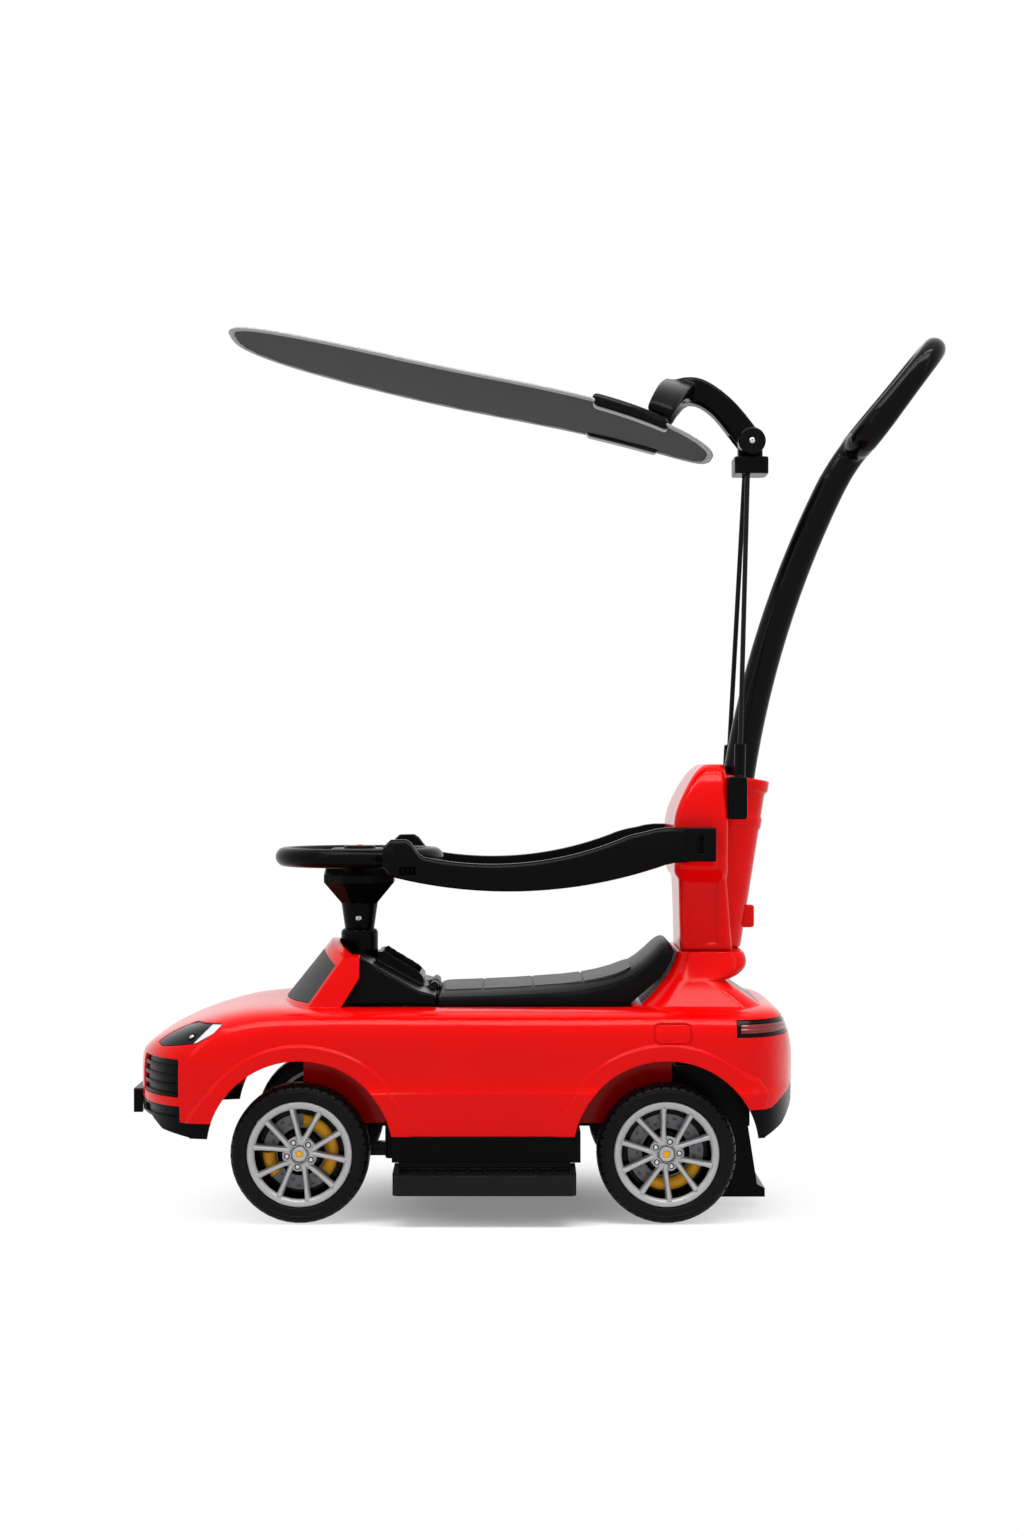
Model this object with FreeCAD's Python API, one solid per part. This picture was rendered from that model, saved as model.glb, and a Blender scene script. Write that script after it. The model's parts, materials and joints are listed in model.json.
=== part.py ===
import FreeCAD, Part
import functools
import math
import os

# A ride-on push car with a push handle and a canopy.
# Millimetres. The car faces -X, +Z is up, the origin is on the ground below the middle of the whole toy.

V = FreeCAD.Vector

# Fits
FIT = 0.3
RUN = 0.1
WALL = 3.0

# Wheels
WHEEL_R = 70.0
TYRE_W = 42.0
TYRE_FACE_Y = 165.0
FRONT_AXLE_X = -244.0
REAR_AXLE_X = 124.0
RIM_R = 53.0
RIM_BARREL = 4.0
RIM_LIP = 8.0
TYRE_CROWN = 4.0
TREAD_BLOCKS = 40
TREAD_GAP = 2.6
TREAD_DEPTH = 2.0
SPOKE_PAIRS = 5
HUB_R = 17.0
HUB_FLANGE_R = 23.0
DISC_R = 38.5
DISC_T = 2.0
CALIPER_T = 4.0
CALIPER_IN_R = 26.0
AXLE_R = 4.0
AXLE_END_GAP = 6.0
CAP_R = 8.0

# Body
BODY_FRONT_X = -419.0
BODY_REAR_X = 262.0
BODY_HALF = 168.0
NOSE_ROUND = 110.0
TAIL_ROUND = 80.0
NOSE_POWER = 4.4
SIDE_POWER = 8.0
BODY_FOOT_Z = 84.0
CREASE_Z = 131.0
BODY_TUCK = 6.0
BELT_Z = 214.0
NOSE_Z = 157.0
BONNET_LENGTH = 144.0
TAIL_DROP = 56.0
TAIL_LENGTH = 40.0
TAIL_POWER = 3.5
SIDE_HEM_Z = 88.0
FRONT_HEM_Z = 101.0
FOG_REAR_X = -365.0
FOG_TOP_Z = 117.0
FOG_IN_Y = 84.0
REAR_HEM_Z = 115.0
REAR_HEM_BEND_X = 230.0
REAR_HEM_TOP_Z = 136.0
ARCH_GAP = 24.0
FLARE_RISE = 3.0
FLARE_BAND = 26.0
DECK_Z = 208.0
COCKPIT_HALF = 116.0
TUB_HALF = 84.0
TUB_FRONT_X = -246.0
TUB_REAR_X = 134.0

# Windscreen frame
COWL_FOOT_Z = 196.0
COWL_TOP_Z = 276.0
COWL_FOOT_X = -286.0
COWL_TOP_X = -222.0
COWL_FOOT_HALF = 128.0
COWL_TOP_HALF = 100.0
COWL_BOW = 36.0
COWL_ARCH = 12.0
COWL_REAR_X = -186.0
PILLAR_BEND_Z = 244.0
PILLAR_SLANT = 30.0
FRAME_T = 9.0
GLASS_T = 2.5
GLASS_MARGIN = 9.0
GLASS_SIDE = 5.0
GLASS_FOOT_Z = 217.0

# Rear hump under the backrest
HUMP_FOOT_Z = 200.0
HUMP_MID_Z = 219.0
HUMP_WAIST_Z = 238.0
HUMP_LIP_Z = 256.0
HUMP_TOP_Z = 267.0
HUMP_CORNER = 22.0

# Floor pan
PAN_Z = 91.0
PAN_T = 3.0
SILL_HALF = 150.0
SILL_FRONT_X = -152.0
SILL_REAR_X = 38.0
SILL_FOOT_Z = 60.0
PAN_FRONT_X = -262.0
PAN_REAR_X = 214.0
BEARING_T = 8.0

# Steering
COLUMN_X = -193.0
SHAFT_R = 5.0
KINGPIN_Y = 106.0
KINGPIN_R = 4.0
KNUCKLE_R = 9.0
FORK_GAP_FOOT_Z = 52.0
FORK_T = 4.0
STEER_ARM = 30.0
LINK_T = 7.0
LINK_HALF = 7.0
LINK_PIN_R = 3.0
LINK_TOP_Z = 53.0
SLEEVE_R = 19.6
SLEEVE_TOP_Z = 287.0
HUB_NECK_R = 15.5
HUB_SHOULDER_R = 19.5
HUB_CONE_R = 40.0
HUB_SHOULDER_Z = 313.0
HUB_FLARE_Z = 336.0
HUB_TOP_Z = 344.0
HUB_SIDES = 8
RIM_MID_Z = 363.0
STEER_RIM_R = 79.0
STEER_GRIP_R = 10.0
BOSS_R = 34.0
BOSS_TOP_Z = 372.0
HORN_R = 17.0
HORN_TRAVEL = 3.0

# Console and seat
CONSOLE_HALF = 98.0
CONSOLE_GAP = 0.8
TRAY_HALF = 40.0
TRAY_RIM = 6.0
HINGE_X = -112.0
HINGE_Z = 229.0
HINGE_R = 5.0
HINGE_PIN_R = 2.0
HINGE_HALF = 48.0
HINGE_SEAT_HALF = 28.0
SEAT_FRONT_X = -108.0
SEAT_FOOT_X = 84.0
SEAT_FRONT_HALF = 98.0
SEAT_REAR_HALF = 72.0
SEAT_WALL = 4.0

# Backrest, socket and push handle
BACK_REAR_X = 192.0
BACK_HALF = 88.0
BACK_TOP_Z = 461.0
SOCKET_R = 30.0
SOCKET_RIM_R = 33.0
SOCKET_TOP_Z = 448.0
SOCKET_LEAN = 9.0
HANDLE_R = 17.0
HANDLE_ENTRY_X = 210.0
HANDLE_FOOT_Z = 322.0
HANDLE_BEND_R = 1075.0
HANDLE_BEND = 17.0
HANDLE_KINK_R = 250.0
HANDLE_KINK = 12.0
LOOP_R = 12.5
LOOP_HALF = 62.0
LOOP_CORNER = 44.0
LOOP_LENGTH = 131.1
BUTTON_Z = 300.0
BUTTON_HALF = 12.0

# Guard arms
ARM_FRONT_X = -163.0
ARM_REAR_X = 178.0
ARM_T = 18.0
ARM_FRONT_Y = 114.0
ARM_MID_Y = 139.0
ARM_REAR_Y = BACK_HALF + 1.0 + ARM_T

# Canopy
ROD_R = 2.6
ROD_FOOT = V(203.0, 78.0, 412.0)
ROD_HEAD = V(218.0, 18.0, 772.0)
SLEEVE_ROD_R = 6.0
CLAMP_Z0 = 404.0
CLAMP_Z1 = 448.0
CLAMP_SLEEVE_Z = 482.0
PIVOT_X = 222.0
PIVOT_Z = 802.0
PIVOT_R = 3.0
LUG_R = 13.0
LUG_HALF = 8.0
CHEEK_T = 6.0
BLOCK_HALF_X = 18.0
BLOCK_HALF_Y = 24.0
BLOCK_Z0 = 768.0
BLOCK_Z1 = 786.0
KNOB_R = 14.5
KNOB_T = 13.0
CANOPY_FRONT_X = -331.0
CANOPY_REAR_X = 182.0
CANOPY_HALF = 142.0
CANOPY_POWER = 3.0
CANOPY_T = 3.0
CANOPY_RIM = 7.0
CANOPY_RIM_T = 6.0
CLIP_FRONT_X = 52.0
CLIP_REAR_X = 132.0
CLIP_DEPTH = 24.0
CLIP_T = 5.0

# Running boards and stand
BOARD_FRONT_X = -150.0
BOARD_REAR_X = 33.0
BOARD_IN_Y = 125.0
BOARD_OUT_Y = 185.0
BOARD_FOOT_Z = 32.0
BOARD_EDGE_Z = 52.0
BOARD_POCKETS = 10
STAND_HALF = 60.0
STAND_FOOT_Z = 11.0

# Openings and inserts of the body
HUMP_WALL = 5.0
COCKPIT_REAR_X = 92.0
STORAGE_FRONT_X = -90.0
STORAGE_REAR_X = 82.0
STORAGE_HALF = 74.0
STORAGE_CORNER = 14.0
HEADLIGHT_IN_Y = 104.0
INTAKE_REAR_X = -366.0
INTAKE_IN_Y = 82.0
INTAKE_Z0 = 126.0
INTAKE_Z1 = 164.0
CENTRE_INTAKE_HALF = 60.0
CENTRE_INTAKE_Z0 = 126.0
CENTRE_INTAKE_Z1 = 146.0
INTAKE_LAP = 4.0
INTAKE_SLATS = 4
SLAT_T = 3.5
PLATE_PAD_X = -426.5
PLATE_PAD_HALF = 46.0
PLATE_PAD_Z0 = 97.0
PLATE_PAD_Z1 = 122.0
TAIL_BAND_X = 194.0
TAIL_BAND_Z0 = 187.0
TAIL_BAND_Z1 = 204.0
TAIL_LENS_MARGIN = 4.0
TAIL_LENS_IN_Y = 40.0
REAR_GLASS_X0 = 194.0
REAR_GLASS_X1 = 236.0
REAR_GLASS_HALF = 72.0
FLAP_X0 = 111.0
FLAP_X1 = 149.0
FLAP_Z0 = 180.0
FLAP_Z1 = 201.0
FLAP_CORNER = 6.0
GROOVE = 1.4
GROOVE_DEPTH = 0.8

# Small parts
SCREW_R = 1.9
SCREW_LENGTH = 12.0
BOSS_SCREW_R = 5.0
BOSS_SCREW_H = 16.0
SCREW_ROWS = (-225.0, -112.0, 90.0)
SILL_LIP = 24.0
TOWER_TOP_Z = 150.0
STAND_FRONT_X = 190.0
BOARD_MARGIN = 5.0
SEAT_GROOVE = 1.4
SEAT_PANEL_HALF = 64.0
SEAT_SEAMS = (-61.0, -9.0, 43.0, 92.0)
BACK_CORNER = 8.5
ARM_SEAT_X = 145.0
ARM_SEAT_Z0 = 359.0
ARM_SEAT_Z1 = 398.0
BUTTON_FLANGE_X = 203.0
BUTTON_FLANGE_T = 3.0
BUTTON_FACE_X = 226.0
BUTTON_HALF_Y = 8.0
BUTTON_SPRING_X = 188.0
CLAMP_DEPTH = 20.0
CLAMP_HALF = 11.0
CLIP_LEG_X = 120.0
CANOPY_STEPS = 28
SPOKE_HALF = 12.0
HORN_POCKET = 16.0
HORN_SPRING = 8.0
SPRING_WIRE = 0.7
COIL_STEPS = 12
HORN_TURNS = 2.5
BUTTON_TURNS = 5.0
SPOKE_ROOT = 9.0
LUG_HOLE_R = 2.4
DISC_Y = 16.0
FRONT_CALIPERS = ((5.0, 123.0), (228.0, 42.0))
REAR_CALIPERS = ((110.0, 104.0),)

AXLE_Z = WHEEL_R
ARCH_R = WHEEL_R + ARCH_GAP
BODY_MID_X = (BODY_FRONT_X + BODY_REAR_X) / 2
BODY_REACH = (BODY_REAR_X - BODY_FRONT_X) / 2
WHEEL_IN_Y = TYRE_FACE_Y - TYRE_W
CONSOLE_REAR_X = SEAT_FRONT_X - CONSOLE_GAP
SCREW_Y = TUB_HALF - WALL - BOSS_SCREW_R + 1
SCREW_SPOTS = [(x, y) for x in SCREW_ROWS for y in (SCREW_Y, -SCREW_Y)]


def box(x0, x1, y0, y1, z0, z1):
    return Part.makeBox(x1 - x0, y1 - y0, z1 - z0, V(x0, y0, z0))


def rod(radius, start, end):
    axis = end - start
    return Part.makeCylinder(radius, axis.Length, start, axis)


def taper(radius_start, radius_end, start, end):
    axis = end - start
    return Part.makeCone(radius_start, radius_end, axis.Length, start, axis)


def mirrored(shape):
    return shape.mirror(V(0, 0, 0), V(0, 1, 0))


def both_sides(shape):
    return shape.fuse(mirrored(shape))


def pair(shape):
    return Part.makeCompound([shape, mirrored(shape)])


def side_prism(points, y0, y1):
    """Straight-sided outline in the side view, carried across from y0 to y1."""
    corners = [V(x, y0, z) for x, z in points]
    face = Part.Face(Part.makePolygon(corners + corners[:1]))
    return face.extrude(V(0, y1 - y0, 0))


def plan_prism(points, z0, z1):
    """Straight-sided outline in the plan view, carried up from z0 to z1."""
    corners = [V(x, y, z0) for x, y in points]
    face = Part.Face(Part.makePolygon(corners + corners[:1]))
    return face.extrude(V(0, 0, z1 - z0))


def spline(points):
    curve = Part.BSplineCurve()
    curve.interpolate(points)
    return curve.toShape()


def arc(start, middle, end):
    return Part.Arc(start, middle, end).toShape()


def line(start, end):
    return Part.LineSegment(start, end).toShape()


def pipe(edges, radius):
    """Round bar along a path of lines and tangent arcs."""
    path = Part.Wire(edges)
    first = path.Edges[0]
    start = first.valueAt(first.FirstParameter)
    ring = Part.Wire([Part.makeCircle(radius, start, first.tangentAt(first.FirstParameter))])
    return path.makePipeShell([ring], True, False)


def rounded_plan(x0, x1, half, corner, z):
    """Closed plan outline with four rounded corners, the same edges at every height."""
    c = corner
    k = corner * (1 - math.sqrt(0.5))
    return Part.Wire([
        line(V(x0 + c, -half, z), V(x1 - c, -half, z)),
        arc(V(x1 - c, -half, z), V(x1 - k, -half + k, z), V(x1, -half + c, z)),
        line(V(x1, -half + c, z), V(x1, half - c, z)),
        arc(V(x1, half - c, z), V(x1 - k, half - k, z), V(x1 - c, half, z)),
        line(V(x1 - c, half, z), V(x0 + c, half, z)),
        arc(V(x0 + c, half, z), V(x0 + k, half - k, z), V(x0, half - c, z)),
        line(V(x0, half - c, z), V(x0, -half + c, z)),
        arc(V(x0, -half + c, z), V(x0 + k, -half + k, z), V(x0 + c, -half, z)),
    ])


def body_half(x):
    """Half width of the body at x: parallel sides that round off to a bowed nose and tail."""
    nose = (BODY_FRONT_X + NOSE_ROUND - x) / (NOSE_ROUND + 1)
    tail = (x - BODY_REAR_X + TAIL_ROUND) / (TAIL_ROUND + 1)
    return BODY_HALF * math.sqrt(1 - max(0, nose, tail) ** 3)


def body_top(x):
    """Height of the body's centre line at x: bonnet, level belt and tail."""
    bonnet_end = BODY_FRONT_X + BONNET_LENGTH
    tail_start = BODY_REAR_X - TAIL_LENGTH
    if x < bonnet_end:
        t = (bonnet_end - x) / (BONNET_LENGTH + 0.5)
        return NOSE_Z + (BELT_Z - NOSE_Z) * (1 - t ** 1.6) ** (1 / 1.6)
    return BELT_Z - TAIL_DROP * (max(0, x - tail_start) / TAIL_LENGTH) ** TAIL_POWER


def shoulder_power(x):
    """How square the shoulder is at x: soft on the bonnet, crisp along the side."""
    t = min(1, (x - BODY_FRONT_X) / BONNET_LENGTH)
    return NOSE_POWER + (SIDE_POWER - NOSE_POWER) * t * t


def body_section(x, inset):
    """Cross-section of the body: side tucked in below a crease, rounded shoulder, nearly level top."""
    half = body_half(x) - inset
    rise = body_top(x) - inset - CREASE_Z
    power = 2 / shoulder_power(x)
    foot_z = BODY_FOOT_Z - 2 * max(inset, 0)
    place = BODY_MID_X + (x - BODY_MID_X) * (1 - inset / BODY_REACH)
    right = [V(place, half, CREASE_Z)]
    for degrees in (12, 28, 45, 60, 72, 81, 87):
        t = math.radians(degrees)
        right.append(V(place, half * math.cos(t) ** power, CREASE_Z + rise * math.sin(t) ** power))
    crown = [V(place, 0, CREASE_Z + rise)]
    left = [V(place, -p.y, p.z) for p in reversed(right)]
    foot = V(place, half - BODY_TUCK, foot_z)
    far_foot = V(place, -foot.y, foot_z)
    bow = spline(right + crown + left)
    return Part.Wire([line(foot, right[0]), bow, line(left[-1], far_foot), line(far_foot, foot)])


@functools.lru_cache(maxsize=None)
def main_form(inset):
    stations = [BODY_FRONT_X + d for d in (0, 2, 6, 13, 25, 45, 75, 115, 180)]
    stations += [BODY_MID_X, BODY_MID_X + 130]
    stations += [BODY_REAR_X - d for d in (85, 52, 32, 19, 10, 4.5, 1.5, 0)]
    return Part.makeLoft([body_section(x, inset) for x in stations], True, False)


def cowl_section(z, inset, rear):
    """Plan outline of the windscreen at height z: bowed front, straight sides."""
    t = (z - COWL_FOOT_Z) / (COWL_TOP_Z - COWL_FOOT_Z)
    front = COWL_FOOT_X + (COWL_TOP_X - COWL_FOOT_X) * t + inset
    half = COWL_FOOT_HALF + (COWL_TOP_HALF - COWL_FOOT_HALF) * t - inset
    side = front + COWL_BOW * half / COWL_FOOT_HALF
    return Part.Wire([
        line(V(rear, -half, z), V(side, -half, z)),
        arc(V(side, -half, z), V(front, 0, z), V(side, half, z)),
        line(V(side, half, z), V(rear, half, z)),
        line(V(rear, half, z), V(rear, -half, z)),
    ])


def cowl_arch(drop):
    """Space under the arched top edge of the windscreen frame, lowered by a drop."""
    side = COWL_FOOT_HALF + 10
    x = COWL_FOOT_X - 40
    top = COWL_TOP_Z - drop
    low = top - COWL_ARCH * (side / COWL_TOP_HALF) ** 2
    edges = [arc(V(x, -side, low), V(x, 0, top), V(x, side, low)), line(V(x, side, low), V(x, side, 0)),
             line(V(x, side, 0), V(x, -side, 0)), line(V(x, -side, 0), V(x, -side, low))]
    return Part.Face(Part.Wire(edges)).extrude(V(COWL_REAR_X - x + 1, 0, 0))


@functools.lru_cache(maxsize=None)
def cowl_form(inset):
    """Solid wedge under the windscreen's outer face, or a layer below it."""
    wedge = Part.makeLoft([cowl_section(z, inset, COWL_REAR_X) for z in (COWL_FOOT_Z, COWL_TOP_Z)], True, True)
    return wedge.common(cowl_arch(0))


def pillar_gap():
    """Corner behind each pillar, which leans forward below its bend."""
    foot_x = COWL_REAR_X - PILLAR_SLANT
    rear = COWL_REAR_X + 1
    low = COWL_FOOT_Z - 1
    points = [(COWL_REAR_X, PILLAR_BEND_Z), (rear, PILLAR_BEND_Z), (rear, low), (foot_x, low)]
    return side_prism(points, -BODY_HALF, BODY_HALF)


@functools.lru_cache(maxsize=None)
def cowl_inside(inset):
    """Space behind the windscreen frame, open to the cockpit and past the frame's top."""
    heights = (COWL_FOOT_Z, COWL_TOP_Z + FRAME_T)
    return Part.makeLoft([cowl_section(z, inset, CONSOLE_REAR_X) for z in heights], True, True)


@functools.lru_cache(maxsize=None)
def hump_form(inset):
    """Rear hump: spreads into the deck, draws in at a waist and flares to a lip under the backrest."""
    top = HUMP_TOP_Z - inset
    rows = (
        (HUMP_FOOT_Z, 84.0, 246.0, 130.0),
        (HUMP_MID_Z, 108.0, 217.0, 112.0),
        (HUMP_WAIST_Z, 126.0, 190.0, 98.0),
        (HUMP_LIP_Z, 137.0, 212.0, 88.0),
        (top, 141.0, 209.0, 84.0),
    )
    wires = [rounded_plan(x0 + inset, x1 - inset, half - inset, HUMP_CORNER, z) for z, x0, x1, half in rows]
    return Part.makeLoft(wires[:3], True, False).fuse(Part.makeLoft(wires[2:], True, False))


@functools.lru_cache(maxsize=None)
def skin(outer, inner):
    """Layer of the main form between two depths below its surface."""
    return main_form(outer).cut(main_form(inner))


def arch_space(x, radius):
    """Cylinder of the wheel space on the +Y side, from inside the wheel to past the body."""
    return rod(radius, V(x, WHEEL_IN_Y - ARCH_GAP, AXLE_Z), V(x, BODY_HALF + ARCH_GAP, AXLE_Z))


def arch_flare(x):
    """Raised band round one wheel arch that fades into the side of the body."""
    band = taper(ARCH_R + FLARE_BAND, ARCH_R + FLARE_BAND / 2, V(x, BODY_HALF - 10, AXLE_Z),
                 V(x, BODY_HALF + FLARE_RISE, AXLE_Z))
    return skin(-FLARE_RISE, WALL / 2).common(band)


def headlight_window(gap):
    """Space of one headlight in the side view, on the +Y side, drawn in by a gap."""
    g = gap
    points = [(-394 + g, 177 + g), (-377 + g, 191 - g), (-350, 198.5 - g), (-322 - g, 199.5 - g),
              (-330 - g, 190.5), (-347 - g, 180.5 + g), (-386 + g, 174.5 + g)]
    return side_prism(points, HEADLIGHT_IN_Y + g, BODY_HALF + 20)


def side_intake_window(gap):
    return box(BODY_FRONT_X - 20, INTAKE_REAR_X - gap, INTAKE_IN_Y + gap, BODY_HALF + 20,
               INTAKE_Z0 + gap, INTAKE_Z1 - gap)


def centre_intake_window(gap):
    return box(BODY_FRONT_X - 20, BODY_FRONT_X + 30, -CENTRE_INTAKE_HALF + gap, CENTRE_INTAKE_HALF - gap,
               CENTRE_INTAKE_Z0 + gap, CENTRE_INTAKE_Z1 - gap)


def tail_band_window(gap):
    return box(TAIL_BAND_X + gap, BODY_REAR_X + 20, -BODY_HALF - 20, BODY_HALF + 20,
               TAIL_BAND_Z0 + gap, TAIL_BAND_Z1 - gap)


def glass_window(gap):
    """Space of the windscreen panel inside its frame."""
    wires = []
    for z in (GLASS_FOOT_Z + gap, COWL_TOP_Z - GLASS_MARGIN - gap):
        t = (z - COWL_FOOT_Z) / (COWL_TOP_Z - COWL_FOOT_Z)
        half = COWL_FOOT_HALF + (COWL_TOP_HALF - COWL_FOOT_HALF) * t - GLASS_SIDE - gap
        corners = [V(COWL_FOOT_X - 20, -half, z), V(COWL_REAR_X, -half, z), V(COWL_REAR_X, half, z),
                   V(COWL_FOOT_X - 20, half, z)]
        wires.append(Part.makePolygon(corners + corners[:1]))
    return Part.makeLoft(wires, True, True).common(cowl_arch(GLASS_MARGIN + gap))


def rear_glass_window(gap):
    low = TAIL_BAND_Z1 + INTAKE_LAP + FIT
    return box(REAR_GLASS_X0 + gap, REAR_GLASS_X1 - gap, -REAR_GLASS_HALF + gap, REAR_GLASS_HALF - gap,
               low + gap, HUMP_WAIST_Z - 2 - gap)


def flap_ring():
    """Narrow rounded frame of the filler flap, as a groove on the -Y side."""
    outer = box(FLAP_X0, FLAP_X1, -BODY_HALF - 20, -BODY_HALF + 40, FLAP_Z0, FLAP_Z1)
    corners = [e for e in outer.Edges if abs(e.tangentAt(e.FirstParameter).y) > 0.9]
    outer = outer.makeFillet(FLAP_CORNER, corners)
    inner = box(FLAP_X0 + GROOVE, FLAP_X1 - GROOVE, -BODY_HALF - 20, -BODY_HALF + 40,
                FLAP_Z0 + GROOVE, FLAP_Z1 - GROOVE)
    inner = inner.makeFillet(FLAP_CORNER - GROOVE,
                             [e for e in inner.Edges if abs(e.tangentAt(e.FirstParameter).y) > 0.9])
    return outer.cut(inner)


def tub():
    """Inner box of the body: steering space in front, storage bin under the seat."""
    outer = box(TUB_FRONT_X, TUB_REAR_X, -TUB_HALF, TUB_HALF, PAN_Z, DECK_Z - 1)
    inner_half = TUB_HALF - WALL
    steering = box(TUB_FRONT_X + WALL, STORAGE_FRONT_X - WALL, -inner_half, inner_half, PAN_Z - 1, DECK_Z)
    storage = box(STORAGE_FRONT_X, TUB_REAR_X - WALL, -TUB_HALF + WALL, TUB_HALF - WALL, PAN_Z - 1, DECK_Z)
    return outer.cut(steering).cut(storage)


def deck():
    """Level floor of the cockpit, with the mouth of the storage bin and the hole of the column."""
    plate = box(TUB_FRONT_X, TUB_REAR_X, -BODY_HALF, BODY_HALF, DECK_Z - WALL, DECK_Z).common(main_form(1.0))
    mouth = box(STORAGE_FRONT_X, STORAGE_REAR_X, -STORAGE_HALF, STORAGE_HALF, DECK_Z - 2 * WALL, DECK_Z + 1)
    corners = [e for e in mouth.Edges if abs(e.tangentAt(e.FirstParameter).z) > 0.9]
    mouth = mouth.makeFillet(STORAGE_CORNER, corners)
    hole = rod(SHAFT_R + 1, V(COLUMN_X, 0, DECK_Z - 2 * WALL), V(COLUMN_X, 0, DECK_Z + 1))
    return plate.cut(mouth).cut(hole)


def body_shell():
    """Moulded body: hollow skin with windscreen frame and hump, flared arches, deck and tub."""
    wide = BODY_HALF + 20
    shell = main_form(0).fuse([hump_form(0), cowl_form(0).cut(pillar_gap())])
    cockpit = box(COWL_REAR_X - 1, COCKPIT_REAR_X, -COCKPIT_HALF, COCKPIT_HALF, DECK_Z, COWL_TOP_Z + 20)
    shell = shell.cut([main_form(WALL), hump_form(HUMP_WALL), cowl_inside(FRAME_T), cockpit])
    flares = [both_sides(arch_flare(x)) for x in (FRONT_AXLE_X, REAR_AXLE_X)]
    bosses = [rod(BOSS_SCREW_R, V(x, y, PAN_Z), V(x, y, PAN_Z + BOSS_SCREW_H)) for x, y in SCREW_SPOTS]
    shell = shell.fuse(flares + bosses + [deck(), tub()])
    pilots = [rod(SCREW_R + RUN, V(x, y, PAN_Z - 1), V(x, y, PAN_Z + SCREW_LENGTH)) for x, y in SCREW_SPOTS]
    arches = [both_sides(arch_space(x, ARCH_R)) for x in (FRONT_AXLE_X, REAR_AXLE_X)]
    hems = [
        nose_band(0),
        both_sides(box(FRONT_AXLE_X, REAR_AXLE_X, TUB_HALF + 1, wide, 0, SIDE_HEM_Z)),
        tail_band(0, TUB_REAR_X + 1),
    ]
    windows = [
        both_sides(headlight_window(0)),
        both_sides(side_intake_window(0)),
        centre_intake_window(0),
        tail_band_window(0),
        glass_window(0).common(cowl_form(0).cut(cowl_form(GLASS_T))),
        rear_glass_window(0).common(hump_form(0).cut(hump_form(GLASS_T))),
        flap_ring().common(skin(-1, GROOVE_DEPTH)),
    ]
    return shell.cut(pilots + arches + hems + windows).removeSplitter()


def floor_pan():
    """Underbody: flat pan with sills, rear axle bearings and the forks of the front wheels."""
    low = PAN_Z - PAN_T
    sill = box(SILL_FRONT_X, SILL_REAR_X, -SILL_HALF, SILL_HALF, SILL_FOOT_Z, PAN_Z)
    sill = sill.cut(box(SILL_FRONT_X + WALL, SILL_REAR_X - WALL, -SILL_HALF + WALL, SILL_HALF - WALL,
                        SILL_FOOT_Z - 1, low))
    lip = box(SILL_FRONT_X, SILL_REAR_X, SILL_HALF - SILL_LIP, SILL_HALF, SILL_FOOT_Z, SILL_FOOT_Z + WALL)
    pan = sill.fuse(both_sides(lip))
    pan = pan.fuse(box(PAN_FRONT_X, PAN_REAR_X, -TUB_HALF, TUB_HALF, low, PAN_Z))
    for x in (SILL_FRONT_X + 62, SILL_REAR_X - 62):
        pan = pan.fuse(box(x, x + WALL, -SILL_HALF + 1, SILL_HALF - 1, SILL_FOOT_Z + 8, low + 1))
    bearing = box(REAR_AXLE_X - 14, REAR_AXLE_X + 14, TUB_HALF - BEARING_T, TUB_HALF, AXLE_Z - 12, low + 1)
    pan = pan.fuse(both_sides(bearing))
    pan = pan.cut(rod(AXLE_R + RUN, V(REAR_AXLE_X, -SILL_HALF, AXLE_Z), V(REAR_AXLE_X, SILL_HALF, AXLE_Z)))
    pan = pan.fuse(both_sides(kingpin_fork()))
    for y in (KINGPIN_Y, -KINGPIN_Y):
        pan = pan.cut(rod(KINGPIN_R + RUN, V(FRONT_AXLE_X, y, 0), V(FRONT_AXLE_X, y, PAN_Z + 1)))
    pan = pan.fuse(rod(SHAFT_R + 6, V(COLUMN_X, 0, low - 8), V(COLUMN_X, 0, low)))
    pan = pan.cut(rod(SHAFT_R + RUN, V(COLUMN_X, 0, 0), V(COLUMN_X, 0, PAN_Z + 1)))
    tower = box(TUB_REAR_X + 2, PAN_REAR_X, -TUB_HALF, TUB_HALF, low, TOWER_TOP_Z)
    tower = tower.cut(box(TUB_REAR_X + 2 + WALL, PAN_REAR_X - WALL, -TUB_HALF + WALL, TUB_HALF - WALL,
                          PAN_Z, TOWER_TOP_Z + 1))
    pan = pan.fuse(tower)
    for x, y in SCREW_SPOTS:
        pan = pan.cut(rod(SCREW_R + RUN, V(x, y, low - 1), V(x, y, PAN_Z + 1)))
    return pan.removeSplitter()


def kingpin_fork():
    """Two ears on the +Y side that hold one kingpin above and below its knuckle."""
    ear_r = KNUCKLE_R + 3
    shape = None
    for z in (FORK_GAP_FOOT_Z - FORK_T, PAN_Z - PAN_T):
        thick = FORK_T if z < FORK_GAP_FOOT_Z else PAN_T
        ear = rod(ear_r, V(FRONT_AXLE_X, KINGPIN_Y, z), V(FRONT_AXLE_X, KINGPIN_Y, z + thick))
        ear = ear.fuse(box(FRONT_AXLE_X - ear_r, FRONT_AXLE_X + ear_r, TUB_HALF - FORK_T, KINGPIN_Y, z, z + thick))
        shape = ear if shape is None else shape.fuse(ear)
    web = box(FRONT_AXLE_X - ear_r, FRONT_AXLE_X + ear_r, TUB_HALF - FORK_T, TUB_HALF,
              FORK_GAP_FOOT_Z - FORK_T, PAN_Z)
    return shape.fuse(web)


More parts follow.
